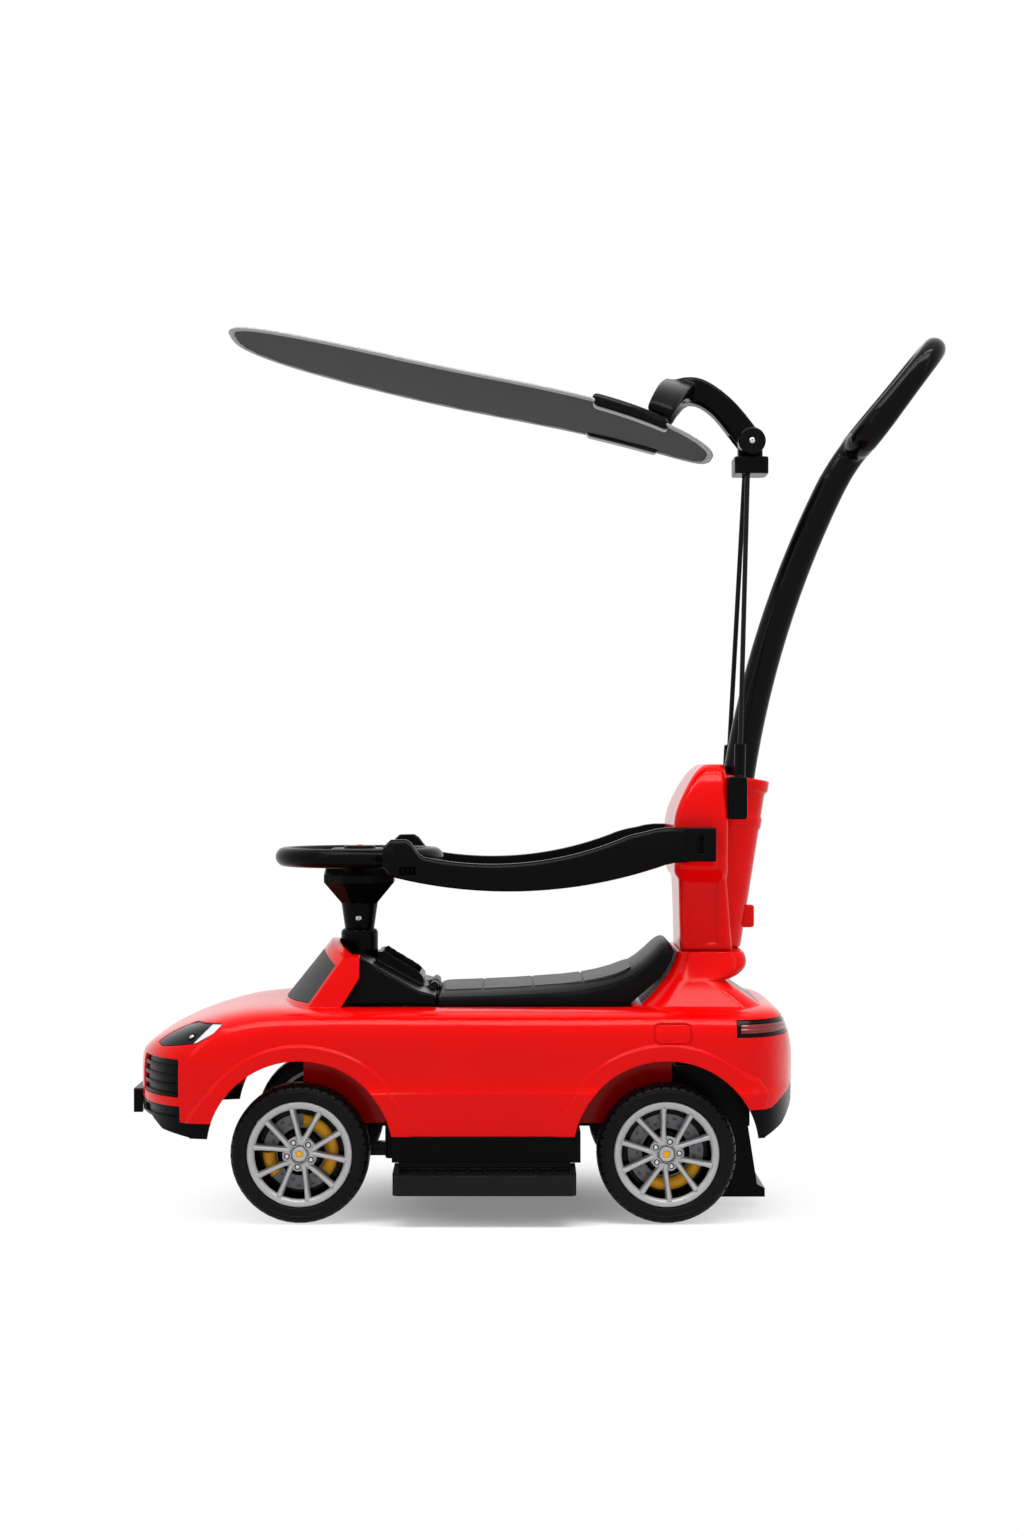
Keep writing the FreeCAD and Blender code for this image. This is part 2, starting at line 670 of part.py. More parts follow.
def nose_band(foot_z):
    """Space below the painted nose, stepped up over the fog slots."""
    wide = BODY_HALF + 20
    points = [(BODY_FRONT_X - 20, foot_z), (BODY_FRONT_X - 20, FOG_TOP_Z), (FOG_REAR_X, FOG_TOP_Z),
              (FOG_REAR_X, FRONT_HEM_Z), (FRONT_AXLE_X, FRONT_HEM_Z), (FRONT_AXLE_X, foot_z)]
    return side_prism(points, -wide, wide)


def tail_band(foot_z, front_x):
    """Space below the painted tail, rising towards the rear."""
    wide = BODY_HALF + 20
    slope = (REAR_HEM_TOP_Z - REAR_HEM_Z) / (BODY_REAR_X - REAR_HEM_BEND_X)
    end_x = BODY_REAR_X + 20
    points = [(front_x, foot_z), (front_x, REAR_HEM_Z), (REAR_HEM_BEND_X, REAR_HEM_Z),
              (end_x, REAR_HEM_Z + slope * (end_x - REAR_HEM_BEND_X)), (end_x, foot_z)]
    return side_prism(points, -wide, wide)


def front_lip():
    """Black apron under the nose: swept-up chin and a sunk fog slot on each side."""
    wide = BODY_HALF + 20
    lip = skin(0.5, WALL + 2).common(nose_band(BODY_FOOT_Z + 1))
    ahead = BODY_FRONT_X - 20
    chin = side_prism([(ahead, 0), (ahead, FRONT_HEM_Z + 4), (FOG_REAR_X - 34, FRONT_HEM_Z + 2),
                       (FOG_REAR_X - 20, BODY_FOOT_Z + 8), (FOG_REAR_X + 10, BODY_FOOT_Z + 2), (FOG_REAR_X + 10, 0)],
                      -wide, wide)
    slot = box(BODY_FRONT_X - 20, FOG_REAR_X - WALL, FOG_IN_Y, wide, FRONT_HEM_Z + 5, FOG_TOP_Z - WALL)
    lip = lip.cut(chin).cut(both_sides(skin(-1, WALL).common(slot)))
    return lip.cut(both_sides(arch_space(FRONT_AXLE_X, ARCH_R)))


def rear_diffuser():
    """Black lower bumper of the tail, cut away underneath towards the rear."""
    wide = BODY_HALF + 20
    shell = skin(0.5, WALL + 2).common(tail_band(BODY_FOOT_Z + 1, TUB_REAR_X + 2))
    bend = REAR_HEM_BEND_X
    under = side_prism([(bend - 6, 0), (bend - 6, BODY_FOOT_Z + 2), (bend + 13, BODY_FOOT_Z + 12),
                        (BODY_REAR_X - 4, REAR_HEM_Z - 2), (BODY_REAR_X + 20, REAR_HEM_Z + 18), (BODY_REAR_X + 20, 0)],
                       -wide, wide)
    return shell.cut(under).cut(both_sides(arch_space(REAR_AXLE_X, ARCH_R)))


def intake_insert(window):
    """Recessed panel behind one opening of the nose, with level slats that fill the opening."""
    panel = skin(WALL + RUN, WALL + 2.5).common(window(-INTAKE_LAP))
    low = window(FIT).BoundBox.ZMin
    high = window(FIT).BoundBox.ZMax
    slats = skin(0.8, WALL + 1).common(window(FIT))
    pitch = (high - low) / INTAKE_SLATS
    for index in range(INTAKE_SLATS):
        gap_low = low + pitch * index + SLAT_T
        slats = slats.cut(box(BODY_FRONT_X - 30, FRONT_AXLE_X, -BODY_HALF - 30, BODY_HALF + 30, gap_low,
                              gap_low + pitch - SLAT_T))
    return panel.fuse(slats)


def front_grille():
    side = intake_insert(side_intake_window)
    return Part.makeCompound([intake_insert(centre_intake_window), side, mirrored(side)])


def plate_pad():
    pad = box(PLATE_PAD_X, BODY_FRONT_X + 10, -PLATE_PAD_HALF, PLATE_PAD_HALF, PLATE_PAD_Z0, PLATE_PAD_Z1)
    pad = pad.makeFillet(2.0, [e for e in pad.Edges if abs(e.tangentAt(e.FirstParameter).x) > 0.9])
    return pad.cut(main_form(-FIT / 2))


def headlight_housings():
    return pair(skin(WALL + RUN, WALL + 2.5).common(headlight_window(-INTAKE_LAP)))


def headlight_lenses():
    return pair(skin(FIT, WALL).common(headlight_window(2 * FIT)))


def windscreen():
    layer = cowl_form(0.2).cut(cowl_form(GLASS_T))
    return layer.common(glass_window(FIT))


def rear_window():
    layer = hump_form(0.2).cut(hump_form(GLASS_T))
    return layer.common(rear_glass_window(FIT))


def tail_lens_window(gap):
    band = tail_band_window(TAIL_LENS_MARGIN + gap)
    return band.cut(box(0, BODY_REAR_X + 30, -TAIL_LENS_IN_Y - gap, TAIL_LENS_IN_Y + gap, 0, BELT_Z))


def tail_light_housing():
    back = skin(WALL + RUN, WALL + 2.5).common(tail_band_window(-INTAKE_LAP))
    face = skin(0.6, WALL + 1).common(tail_band_window(FIT))
    return back.fuse(face.cut(tail_lens_window(0)))


def tail_light_lens():
    return skin(0.2, WALL).common(tail_lens_window(FIT))


def anti_tip_stand():
    low = PAN_Z - PAN_T
    points = [(STAND_FRONT_X, low), (PAN_REAR_X, low), (PAN_REAR_X + 10, STAND_FOOT_Z + 13),
              (PAN_REAR_X + 18, STAND_FOOT_Z + 9), (PAN_REAR_X + 18, STAND_FOOT_Z),
              (STAND_FRONT_X - 4, STAND_FOOT_Z), (STAND_FRONT_X - 4, STAND_FOOT_Z + 9),
              (STAND_FRONT_X + 2, STAND_FOOT_Z + 15)]
    block = side_prism(points, -STAND_HALF, STAND_HALF)
    for y in (-STAND_HALF + WALL, WALL / 2):
        bay = box(STAND_FRONT_X - 20, PAN_REAR_X - WALL, y, y + STAND_HALF - 1.5 * WALL,
                  STAND_FOOT_Z + 17, low - WALL)
        block = block.cut(bay)
    return block


def running_board():
    """Step on the +Y side: sloped tread with pockets, ribbed underside, rail under the sill."""
    outline = [(BOARD_IN_Y, BOARD_FOOT_Z + 6), (BOARD_OUT_Y, BOARD_FOOT_Z), (BOARD_OUT_Y, BOARD_EDGE_Z),
               (BOARD_OUT_Y - 4, BOARD_EDGE_Z + 1.5), (BOARD_IN_Y, BOARD_EDGE_Z + 4)]
    corners = [V(BOARD_FRONT_X, y, z) for y, z in outline]
    step = Part.Face(Part.makePolygon(corners + corners[:1])).extrude(V(BOARD_REAR_X - BOARD_FRONT_X, 0, 0))
    corners = [e for e in step.Edges if e.BoundBox.YMin > BOARD_OUT_Y - 1 and e.BoundBox.ZLength > 9]
    step = step.makeFillet(6, corners)
    step = step.cut(box(BOARD_FRONT_X + WALL, BOARD_REAR_X - WALL, BOARD_IN_Y + WALL, BOARD_OUT_Y - WALL - 1,
                        BOARD_FOOT_Z - 1, BOARD_EDGE_Z - 6))
    pitch = (BOARD_REAR_X - BOARD_FRONT_X - 2 * BOARD_MARGIN) / BOARD_POCKETS
    for index in range(BOARD_POCKETS):
        x = BOARD_FRONT_X + BOARD_MARGIN + pitch * index
        step = step.cut(box(x + 1.5, x + pitch - 1.5, SILL_HALF + 3, BOARD_OUT_Y - 8, BOARD_EDGE_Z - 1.5,
                            BOARD_EDGE_Z + 20))
    rail = box(BOARD_FRONT_X + BOARD_MARGIN, BOARD_REAR_X - BOARD_MARGIN, SILL_HALF - SILL_LIP + 2, SILL_HALF - 4,
               BOARD_EDGE_Z - 3, SILL_FOOT_Z)
    return step.fuse(rail)


def console_outline(inset):
    """Side view of the console: dash top, slope to the seat, open foot."""
    i = inset
    foot = DECK_Z + FIT if i == 0 else DECK_Z - 5
    return [(COWL_FOOT_X, foot), (COWL_TOP_X - 20, 266 - i), (-190, 265 - i), (-168, 252 - i), (-146, 240 - i),
            (-126, 229 - i), (CONSOLE_REAR_X - i, 225 - i), (CONSOLE_REAR_X - i, foot)]


def console_space(gap, inset):
    """What the windscreen frame and the cockpit leave free for the console."""
    half = CONSOLE_HALF - inset
    rear = box(COWL_REAR_X + gap, HINGE_X + 20, -half, half, DECK_Z - 10, COWL_TOP_Z)
    return cowl_inside(FRAME_T + gap + inset).fuse(rear)


def dash_console():
    shell = side_prism(console_outline(0), -BODY_HALF, BODY_HALF).common(console_space(FIT, 0))
    shell = shell.common(box(COWL_FOOT_X, HINGE_X + 20, -CONSOLE_HALF - 12, CONSOLE_HALF + 12, 0, COWL_TOP_Z))
    hollow = side_prism(console_outline(WALL), -BODY_HALF, BODY_HALF).common(console_space(FIT, WALL))
    shell = shell.cut(hollow)
    wall = [(-172, 240), (-172, 264), (-164, 266), (-131, 246), (-124, 238), (-124, 222)]
    tray = side_prism(wall, -TRAY_HALF, TRAY_HALF)
    tray = tray.cut(side_prism([(-167, 248), (-167, 275), (-129, 275), (-129, 232)], -TRAY_HALF + TRAY_RIM / 2,
                               TRAY_HALF - TRAY_RIM / 2))
    pocket_x = HINGE_X - HINGE_R - 1
    pocket_half = HINGE_HALF + 1
    pocket = box(pocket_x, SEAT_FRONT_X, -pocket_half, pocket_half, HINGE_Z - 2 * HINGE_R, COWL_TOP_Z)
    shell = shell.fuse(tray).cut(pocket)
    for y in (-HINGE_HALF, HINGE_SEAT_HALF + FIT):
        length = HINGE_HALF - HINGE_SEAT_HALF - FIT
        lug = rod(HINGE_R, V(HINGE_X, y, HINGE_Z), V(HINGE_X, y + length, HINGE_Z))
        lug = lug.fuse(box(pocket_x - WALL, HINGE_X, y, y + length, HINGE_Z - 9, HINGE_Z))
        shell = shell.fuse(lug)
    reach = HINGE_HALF + 9
    shell = shell.cut(rod(HINGE_PIN_R + RUN, V(HINGE_X, -reach, HINGE_Z), V(HINGE_X, reach, HINGE_Z)))
    shell = shell.cut(rod(SLEEVE_R + FIT, V(COLUMN_X, 0, DECK_Z - 9), V(COLUMN_X, 0, SLEEVE_TOP_Z)))
    return shell.removeSplitter()


def column_sleeve():
    tube = rod(SLEEVE_R, V(COLUMN_X, 0, DECK_Z), V(COLUMN_X, 0, SLEEVE_TOP_Z))
    top_edges = [e for e in tube.Edges if e.BoundBox.ZMin > SLEEVE_TOP_Z - 1 and e.BoundBox.ZLength < 1]
    tube = tube.makeFillet(5, top_edges)
    return tube.cut(rod(SHAFT_R + RUN, V(COLUMN_X, 0, DECK_Z - 1), V(COLUMN_X, 0, SLEEVE_TOP_Z + 1)))


def seat_top():
    return spline([V(SEAT_FRONT_X, 0, 226), V(-30, 0, 229), V(43, 0, 235), V(92, 0, 249), V(112, 0, 264),
                   V(122, 0, 273.5)])


def seat_block():
    """Solid envelope of the seat: dished top that rises to a lip along the hump."""
    foot = DECK_Z + FIT
    top = seat_top()
    nose = top.Vertexes[0].Point
    lip = top.Vertexes[-1].Point
    outline = Part.Wire([
        top,
        arc(lip, V(131, 0, 276.5), V(137, 0, 266)),
        line(V(137, 0, 266), V(134, 0, 258)),
        line(V(134, 0, 258), V(123, 0, 240)),
        line(V(123, 0, 240), V(SEAT_FOOT_X, 0, foot)),
        line(V(SEAT_FOOT_X, 0, foot), V(SEAT_FRONT_X, 0, foot)),
        line(V(SEAT_FRONT_X, 0, foot), nose),
    ])
    side = Part.Face(outline).extrude(V(0, 2 * SEAT_FRONT_HALF, 0)).translated(V(0, -SEAT_FRONT_HALF, 0))
    f = SEAT_FRONT_HALF
    r = SEAT_REAR_HALF
    plan = [(SEAT_FRONT_X, -f), (20, -f), (90, -(f + r) / 2), (140, -r), (140, r), (90, (f + r) / 2), (20, f),
            (SEAT_FRONT_X, f)]
    return side.common(plan_prism(plan, 0, BACK_TOP_Z))


def seat_lid():
    lid = seat_block()
    grooves = lid.cut(lid.translated(V(0, 0, -SEAT_GROOVE)))
    lines = both_sides(box(SEAT_FRONT_X + 6, 100, SEAT_PANEL_HALF - 1, SEAT_PANEL_HALF + 1, 0, BACK_TOP_Z))
    for x in SEAT_SEAMS:
        lines = lines.fuse(box(x - 1, x + 1, -SEAT_PANEL_HALF, SEAT_PANEL_HALF, 0, BACK_TOP_Z))
    w = SEAT_WALL
    hollow = side_prism([(SEAT_FRONT_X + w, 190), (SEAT_FRONT_X + w, 226 - w), (40, 234 - w), (78, 242 - w),
                         (92, 227), (76, 212), (76, 190)], -SEAT_REAR_HALF + w, SEAT_REAR_HALF - w)
    lid = lid.cut(hollow).cut(grooves.common(lines))
    barrel = rod(HINGE_R, V(HINGE_X, -HINGE_SEAT_HALF, HINGE_Z), V(HINGE_X, HINGE_SEAT_HALF, HINGE_Z))
    web = box(HINGE_X, SEAT_FRONT_X + w, -HINGE_SEAT_HALF, HINGE_SEAT_HALF, HINGE_Z - HINGE_R, HINGE_Z - 1)
    lid = lid.fuse(barrel).fuse(web)
    return lid.cut(rod(HINGE_PIN_R + RUN, V(HINGE_X, -HINGE_HALF, HINGE_Z), V(HINGE_X, HINGE_HALF, HINGE_Z)))


def seat_hinge_pin():
    return rod(HINGE_PIN_R, V(HINGE_X, -HINGE_HALF, HINGE_Z), V(HINGE_X, HINGE_HALF, HINGE_Z))


def socket_axis(z):
    """Centre of the handle socket at height z."""
    return V(HANDLE_ENTRY_X + (z - SOCKET_TOP_Z) * math.tan(math.radians(SOCKET_LEAN)), 0, z)


def backrest_block(inset):
    """Upright cushion-shaped block of the backrest: narrow waist, wide shoulders, rounded top."""
    rows = (
        (HUMP_TOP_Z - inset, 144.0, 198.0, 66.0),
        (310.0, 143.0, 195.0, 64.0),
        (342.0, 142.0, BACK_REAR_X, 70.0),
        (362.0, 138.0, BACK_REAR_X, BACK_HALF - 4),
        (382.0, 136.5, BACK_REAR_X, BACK_HALF),
        (410.0, 138.0, BACK_REAR_X, BACK_HALF),
        (430.0, 146.0, BACK_REAR_X, BACK_HALF - 5),
        (446.0 - inset, 155.0, BACK_REAR_X, BACK_HALF - 13),
        (456.0 - inset, 163.0, BACK_REAR_X - 1, BACK_HALF - 22),
        (BACK_TOP_Z - inset, 171.0, BACK_REAR_X - 3, BACK_HALF - 32),
    )
    rows = rows if inset == 0 else rows[:-2]
    corner = BACK_CORNER - inset / 2
    wires = [rounded_plan(x0 + inset, x1 - inset, half - inset, corner, z) for z, x0, x1, half in rows]
    if inset:
        return Part.makeLoft(wires, True, True)
    return Part.makeLoft(wires[:3], True, False).fuse(Part.makeLoft(wires[2:], True, False))


def backrest():
    foot = socket_axis(HUMP_TOP_Z + 4)
    head = socket_axis(SOCKET_TOP_Z)
    flat_back = box(BACK_REAR_X, BODY_REAR_X, -BODY_HALF, BODY_HALF, ARM_SEAT_Z0, BACK_TOP_Z)
    body = backrest_block(0).cut(flat_back).fuse(rod(SOCKET_R, foot, head))
    body = body.fuse(rod(SOCKET_RIM_R, socket_axis(SOCKET_TOP_Z - 12), head))
    body = body.fuse(rod(SOCKET_R + 1.5, socket_axis(398), socket_axis(408)))
    arm_seat = box(ARM_SEAT_X, ARM_REAR_X, BACK_HALF - 22, BACK_HALF + 1, ARM_SEAT_Z0, ARM_SEAT_Z1)
    body = body.fuse(both_sides(arm_seat))
    body = body.cut(backrest_block(WALL).cut(rod(HANDLE_R + RUN + WALL, foot, head)))
    body = body.cut(rod(HANDLE_R + RUN, socket_axis(HANDLE_FOOT_Z), socket_axis(SOCKET_TOP_Z + 30)))
    body = body.cut(box(0, BODY_REAR_X, -BODY_HALF, BODY_HALF, 0, HUMP_TOP_Z))
    wall_x = BUTTON_FLANGE_X + BUTTON_FLANGE_T + FIT
    shaft = box(wall_x - 1, BODY_REAR_X, -BUTTON_HALF_Y - FIT, BUTTON_HALF_Y + FIT, BUTTON_Z - BUTTON_HALF - FIT,
                BUTTON_Z + BUTTON_HALF + FIT)
    pocket = box(BUTTON_SPRING_X, wall_x, -BUTTON_HALF_Y - 3, BUTTON_HALF_Y + 3, BUTTON_Z - BUTTON_HALF - 3,
                 BUTTON_Z + BUTTON_HALF + 3)
    return body.cut(shaft).cut(pocket).removeSplitter()


def release_button():
    flange = box(BUTTON_FLANGE_X, BUTTON_FLANGE_X + BUTTON_FLANGE_T, -BUTTON_HALF_Y - 2, BUTTON_HALF_Y + 2,
                 BUTTON_Z - BUTTON_HALF - 2, BUTTON_Z + BUTTON_HALF + 2)
    cap = box(BUTTON_FLANGE_X, BUTTON_FACE_X, -BUTTON_HALF_Y, BUTTON_HALF_Y, BUTTON_Z - BUTTON_HALF,
              BUTTON_Z + BUTTON_HALF)
    cap = cap.makeFillet(3, [e for e in cap.Edges if e.BoundBox.XMin > BUTTON_FACE_X - 1])
    return flange.fuse(cap)


def push_handle():
    """Bent tube that plugs into the backrest, ending in a loop grip."""
    foot = socket_axis(HANDLE_FOOT_Z)
    entry = socket_axis(SOCKET_TOP_Z)
    edges = [line(foot, entry)]
    point = entry
    lean = SOCKET_LEAN
    for radius, sweep in ((HANDLE_BEND_R, HANDLE_BEND), (HANDLE_KINK_R, HANDLE_KINK)):
        ends = []
        for part in (sweep / 2, sweep):
            a = math.radians(lean)
            b = math.radians(lean + part)
            ends.append(V(point.x + radius * (math.cos(a) - math.cos(b)), 0,
                          point.z + radius * (math.sin(b) - math.sin(a))))
        edges.append(arc(point, ends[0], ends[1]))
        point = ends[1]
        lean = lean + sweep
    along = V(math.sin(math.radians(lean)), 0, math.cos(math.radians(lean)))
    edges.append(line(point, point + along * LOOP_R))
    return pipe(edges, HANDLE_R).fuse(handle_loop(point, along))


def handle_loop(base, along):
    """Rounded loop grip that starts at the end of the bent tube."""
    c = LOOP_CORNER
    k = LOOP_CORNER * (1 - math.sqrt(0.5))
    h = LOOP_HALF
    top = LOOP_LENGTH

    def at(u, v):
        return base + along * u + V(0, v, 0)

    edges = [
        line(at(0, 0), at(0, h - c)),
        arc(at(0, h - c), at(k, h - k), at(c, h)),
        line(at(c, h), at(top - c, h)),
        arc(at(top - c, h), at(top - k, h - k), at(top, h - c)),
        line(at(top, h - c), at(top, -h + c)),
        arc(at(top, -h + c), at(top - k, -h + k), at(top - c, -h)),
        line(at(top - c, -h), at(c, -h)),
        arc(at(c, -h), at(k, -h + k), at(0, -h + c)),
        line(at(0, -h + c), at(0, 0)),
    ]
    return pipe(edges, LOOP_R)


def guard_arm():
    """Side guard on the +Y side: bowed in plan, deeper at both ends, plate against the backrest."""
    outer = [V(ARM_FRONT_X, ARM_FRONT_Y, 0), V(0, ARM_MID_Y, 0), V(ARM_SEAT_X, ARM_REAR_Y, 0)]
    inner = [p - V(0, ARM_T, 0) for p in outer]
    rear_out = V(ARM_REAR_X, ARM_REAR_Y, 0)
    rear_in = rear_out - V(0, ARM_T, 0)
    plan = Part.Wire([arc(*outer), line(outer[2], rear_out), line(rear_out, rear_in), line(rear_in, inner[2]),
                      arc(*reversed(inner)), line(inner[0], outer[0])])
    plan = Part.Face(plan).extrude(V(0, 0, BACK_TOP_Z))
    low_front = V(ARM_FRONT_X, 0, 348)
    low_rear = V(132, 0, 360)
    top_front = V(-124, 0, 367)
    top_rear = V(92, 0, 390)
    edges = [
        arc(low_front, V(-28, 0, 332), low_rear),
        line(low_rear, V(ARM_REAR_X, 0, ARM_SEAT_Z0 + 2)),
        line(V(ARM_REAR_X, 0, ARM_SEAT_Z0 + 2), V(ARM_REAR_X, 0, ARM_SEAT_Z1 - 2)),
        line(V(ARM_REAR_X, 0, ARM_SEAT_Z1 - 2), V(122, 0, 396)),
        line(V(122, 0, 396), top_rear),
        arc(top_rear, V(-20, 0, 361), top_front),
        line(top_front, V(-136, 0, 383)),
        line(V(-136, 0, 383), V(-156, 0, 384)),
        line(V(-156, 0, 384), V(ARM_FRONT_X, 0, 376)),
        line(V(ARM_FRONT_X, 0, 376), low_front),
    ]
    side = Part.Face(Part.Wire(edges)).extrude(V(0, BODY_HALF, 0))
    arm = plan.common(side)
    slot = box(ARM_SEAT_X + 8, ARM_SEAT_X + 13, ARM_REAR_Y - 4, ARM_REAR_Y + 1, ARM_SEAT_Z0 + 10, ARM_SEAT_Z1 - 10)
    ear = box(ARM_FRONT_X + 7, ARM_FRONT_X + 24, ARM_FRONT_Y - 1, BODY_HALF, 358, 377)
    return arm.cut(slot).cut(ear)


def rod_line(z):
    """Centre of the canopy rod on the +Y side at height z."""
    t = (z - ROD_FOOT.z) / (ROD_HEAD.z - ROD_FOOT.z)
    return ROD_FOOT + (ROD_HEAD - ROD_FOOT) * t


def canopy_rod():
    return rod(ROD_R, ROD_FOOT, ROD_HEAD)


def rod_clamp():
    mid = rod_line((CLAMP_Z0 + CLAMP_Z1) / 2)
    block = box(BACK_REAR_X + FIT / 3, BACK_REAR_X + CLAMP_DEPTH, mid.y - CLAMP_HALF, mid.y + CLAMP_HALF,
                CLAMP_Z0, CLAMP_Z1)
    block = block.makeFillet(3, [e for e in block.Edges if e.BoundBox.XMin > BACK_REAR_X + CLAMP_DEPTH - 1])
    tube = rod(SLEEVE_ROD_R, rod_line(CLAMP_Z1 - 6), rod_line(CLAMP_SLEEVE_Z))
    clamp = block.fuse(tube)
    return clamp.cut(rod(ROD_R + RUN, ROD_FOOT, ROD_HEAD))


def canopy_block():
    """Yoke on top of both rods, with the lug that carries the canopy arm."""
    block = box(PIVOT_X - BLOCK_HALF_X, PIVOT_X + BLOCK_HALF_X, -BLOCK_HALF_Y, BLOCK_HALF_Y, BLOCK_Z0, BLOCK_Z1)
    block = block.makeFillet(5, [e for e in block.Edges if abs(e.tangentAt(e.FirstParameter).z) > 0.9])
    lug = rod(LUG_R, V(PIVOT_X, -LUG_HALF, PIVOT_Z), V(PIVOT_X, LUG_HALF, PIVOT_Z))
    lug = lug.fuse(box(PIVOT_X - LUG_R, PIVOT_X + LUG_R, -LUG_HALF, LUG_HALF, BLOCK_Z1 - 1, PIVOT_Z))
    block = block.fuse(lug)
    block = block.cut(rod(PIVOT_R + RUN, V(PIVOT_X, -BLOCK_HALF_Y, PIVOT_Z), V(PIVOT_X, BLOCK_HALF_Y, PIVOT_Z)))
    return block.cut(both_sides(rod(ROD_R + RUN, ROD_FOOT, ROD_HEAD + V(0, 0, RUN))))


def canopy_knob():
    """Pivot bolt with its round clamping knob on the -Y side and a nut on the other."""
    face = LUG_HALF + FIT + CHEEK_T + FIT
    bolt = rod(PIVOT_R, V(PIVOT_X, -face - 2, PIVOT_Z), V(PIVOT_X, face + 3, PIVOT_Z))
    knob = rod(KNOB_R, V(PIVOT_X, -face - KNOB_T, PIVOT_Z), V(PIVOT_X, -face, PIVOT_Z))
    knob = knob.makeFillet(2.5, [e for e in knob.Edges if e.BoundBox.YMax < -face - KNOB_T + 0.5])
    nut = rod(2 * PIVOT_R, V(PIVOT_X, face, PIVOT_Z), V(PIVOT_X, face + 4, PIVOT_Z))
    return bolt.fuse(knob).fuse(nut)


def canopy_stem():
    """Arched stem of the canopy arm in the side view, as two cheeks joined over the top."""
    half = LUG_HALF + FIT + CHEEK_T
    outer = spline([V(PIVOT_X + 9, 0, PIVOT_Z + 11), V(204, 0, 846), V(186, 0, 861), V(165, 0, 871), V(146, 0, 870),
                    V(130, 0, 860)])
    inner = spline([V(148, 0, 842), V(162, 0, 843), V(176, 0, 836), V(190, 0, 822), V(PIVOT_X - 12, 0, PIVOT_Z - 6)])
    a = outer.Vertexes[-1].Point
    b = inner.Vertexes[0].Point
    c = inner.Vertexes[-1].Point
    d = outer.Vertexes[0].Point
    face = Part.Face(Part.Wire([outer, line(a, b), inner, line(c, d)]))
    stem = face.extrude(V(0, 2 * half, 0)).translated(V(0, -half, 0))
    stem = stem.fuse(rod(LUG_R, V(PIVOT_X, -half, PIVOT_Z), V(PIVOT_X, half, PIVOT_Z)))
    swing = LUG_R + FIT
    slot = rod(swing, V(PIVOT_X, -LUG_HALF - FIT, PIVOT_Z), V(PIVOT_X, LUG_HALF + FIT, PIVOT_Z))
    gap = LUG_HALF + FIT
    slot = slot.fuse(side_prism([(PIVOT_X - 26, PIVOT_Z - 30), (PIVOT_X + 26, PIVOT_Z - 30),
                                 (PIVOT_X + 26, PIVOT_Z + 4), (PIVOT_X - 20, PIVOT_Z + 22)], -gap, gap))
    stem = stem.cut(slot)
    return stem.cut(rod(PIVOT_R + RUN, V(PIVOT_X, -half - 1, PIVOT_Z), V(PIVOT_X, half + 1, PIVOT_Z)))


def leg_section(centre, width, thick, lean):
    """Rectangle across one leg of the fork, in a plane square to Y."""
    c = math.cos(math.radians(lean))
    s = math.sin(math.radians(lean))
    corners = []
    for a, b in ((-1, -1), (1, -1), (1, 1), (-1, 1)):
        u = a * width / 2
        w = b * thick / 2
        corners.append(centre + V(u * c - w * s, 0, -u * s - w * c))
    return Part.makePolygon(corners + corners[:1])


@functools.lru_cache(maxsize=None)
def canopy_leg():
    """One leg of the fork on the +Y side, from the stem out and down to its clip."""
    reach = canopy_half(CLIP_LEG_X)
    half = LUG_HALF + FIT + CHEEK_T
    foot_z = canopy_z(CLIP_LEG_X) + CLIP_T
    rows = (
        (V(146, half - 6, 857), 34.0, 22.0, 12.0),
        (V(138, reach * 0.42, 851), 32.0, 14.0, 14.0),
        (V(128, reach * 0.78, 836), 30.0, 11.0, 18.0),
        (V(CLIP_LEG_X, reach - 6, foot_z + 5), 28.0, 10.0, 20.0),
    )
    return Part.makeLoft([leg_section(*row) for row in rows], True, False)


def canopy_arm():
    return canopy_stem().fuse(both_sides(canopy_leg())).removeSplitter()


def canopy_line(drop):
    """Side view of the canopy: gently sloped forward, bent down behind."""
    return spline([V(CANOPY_FRONT_X, 0, 917.5 - drop), V(-215, 0, 889 - drop), V(-84, 0, 859.5 - drop),
                   V(58, 0, 830 - drop), V(CANOPY_REAR_X, 0, 786 - drop)])


@functools.lru_cache(maxsize=None)
def canopy_z(x):
    """Height of the canopy's upper face at x."""
    edge = canopy_line(0)
    cut = edge.common(box(x - 0.05, x + 0.05, -1, 1, 0, 1000))
    return cut.BoundBox.Center.z


def canopy_half(x):
    mid = (CANOPY_FRONT_X + CANOPY_REAR_X) / 2
    reach = (CANOPY_REAR_X - CANOPY_FRONT_X) / 2
    return CANOPY_HALF * (1 - abs((x - mid) / reach) ** CANOPY_POWER) ** (1 / CANOPY_POWER)


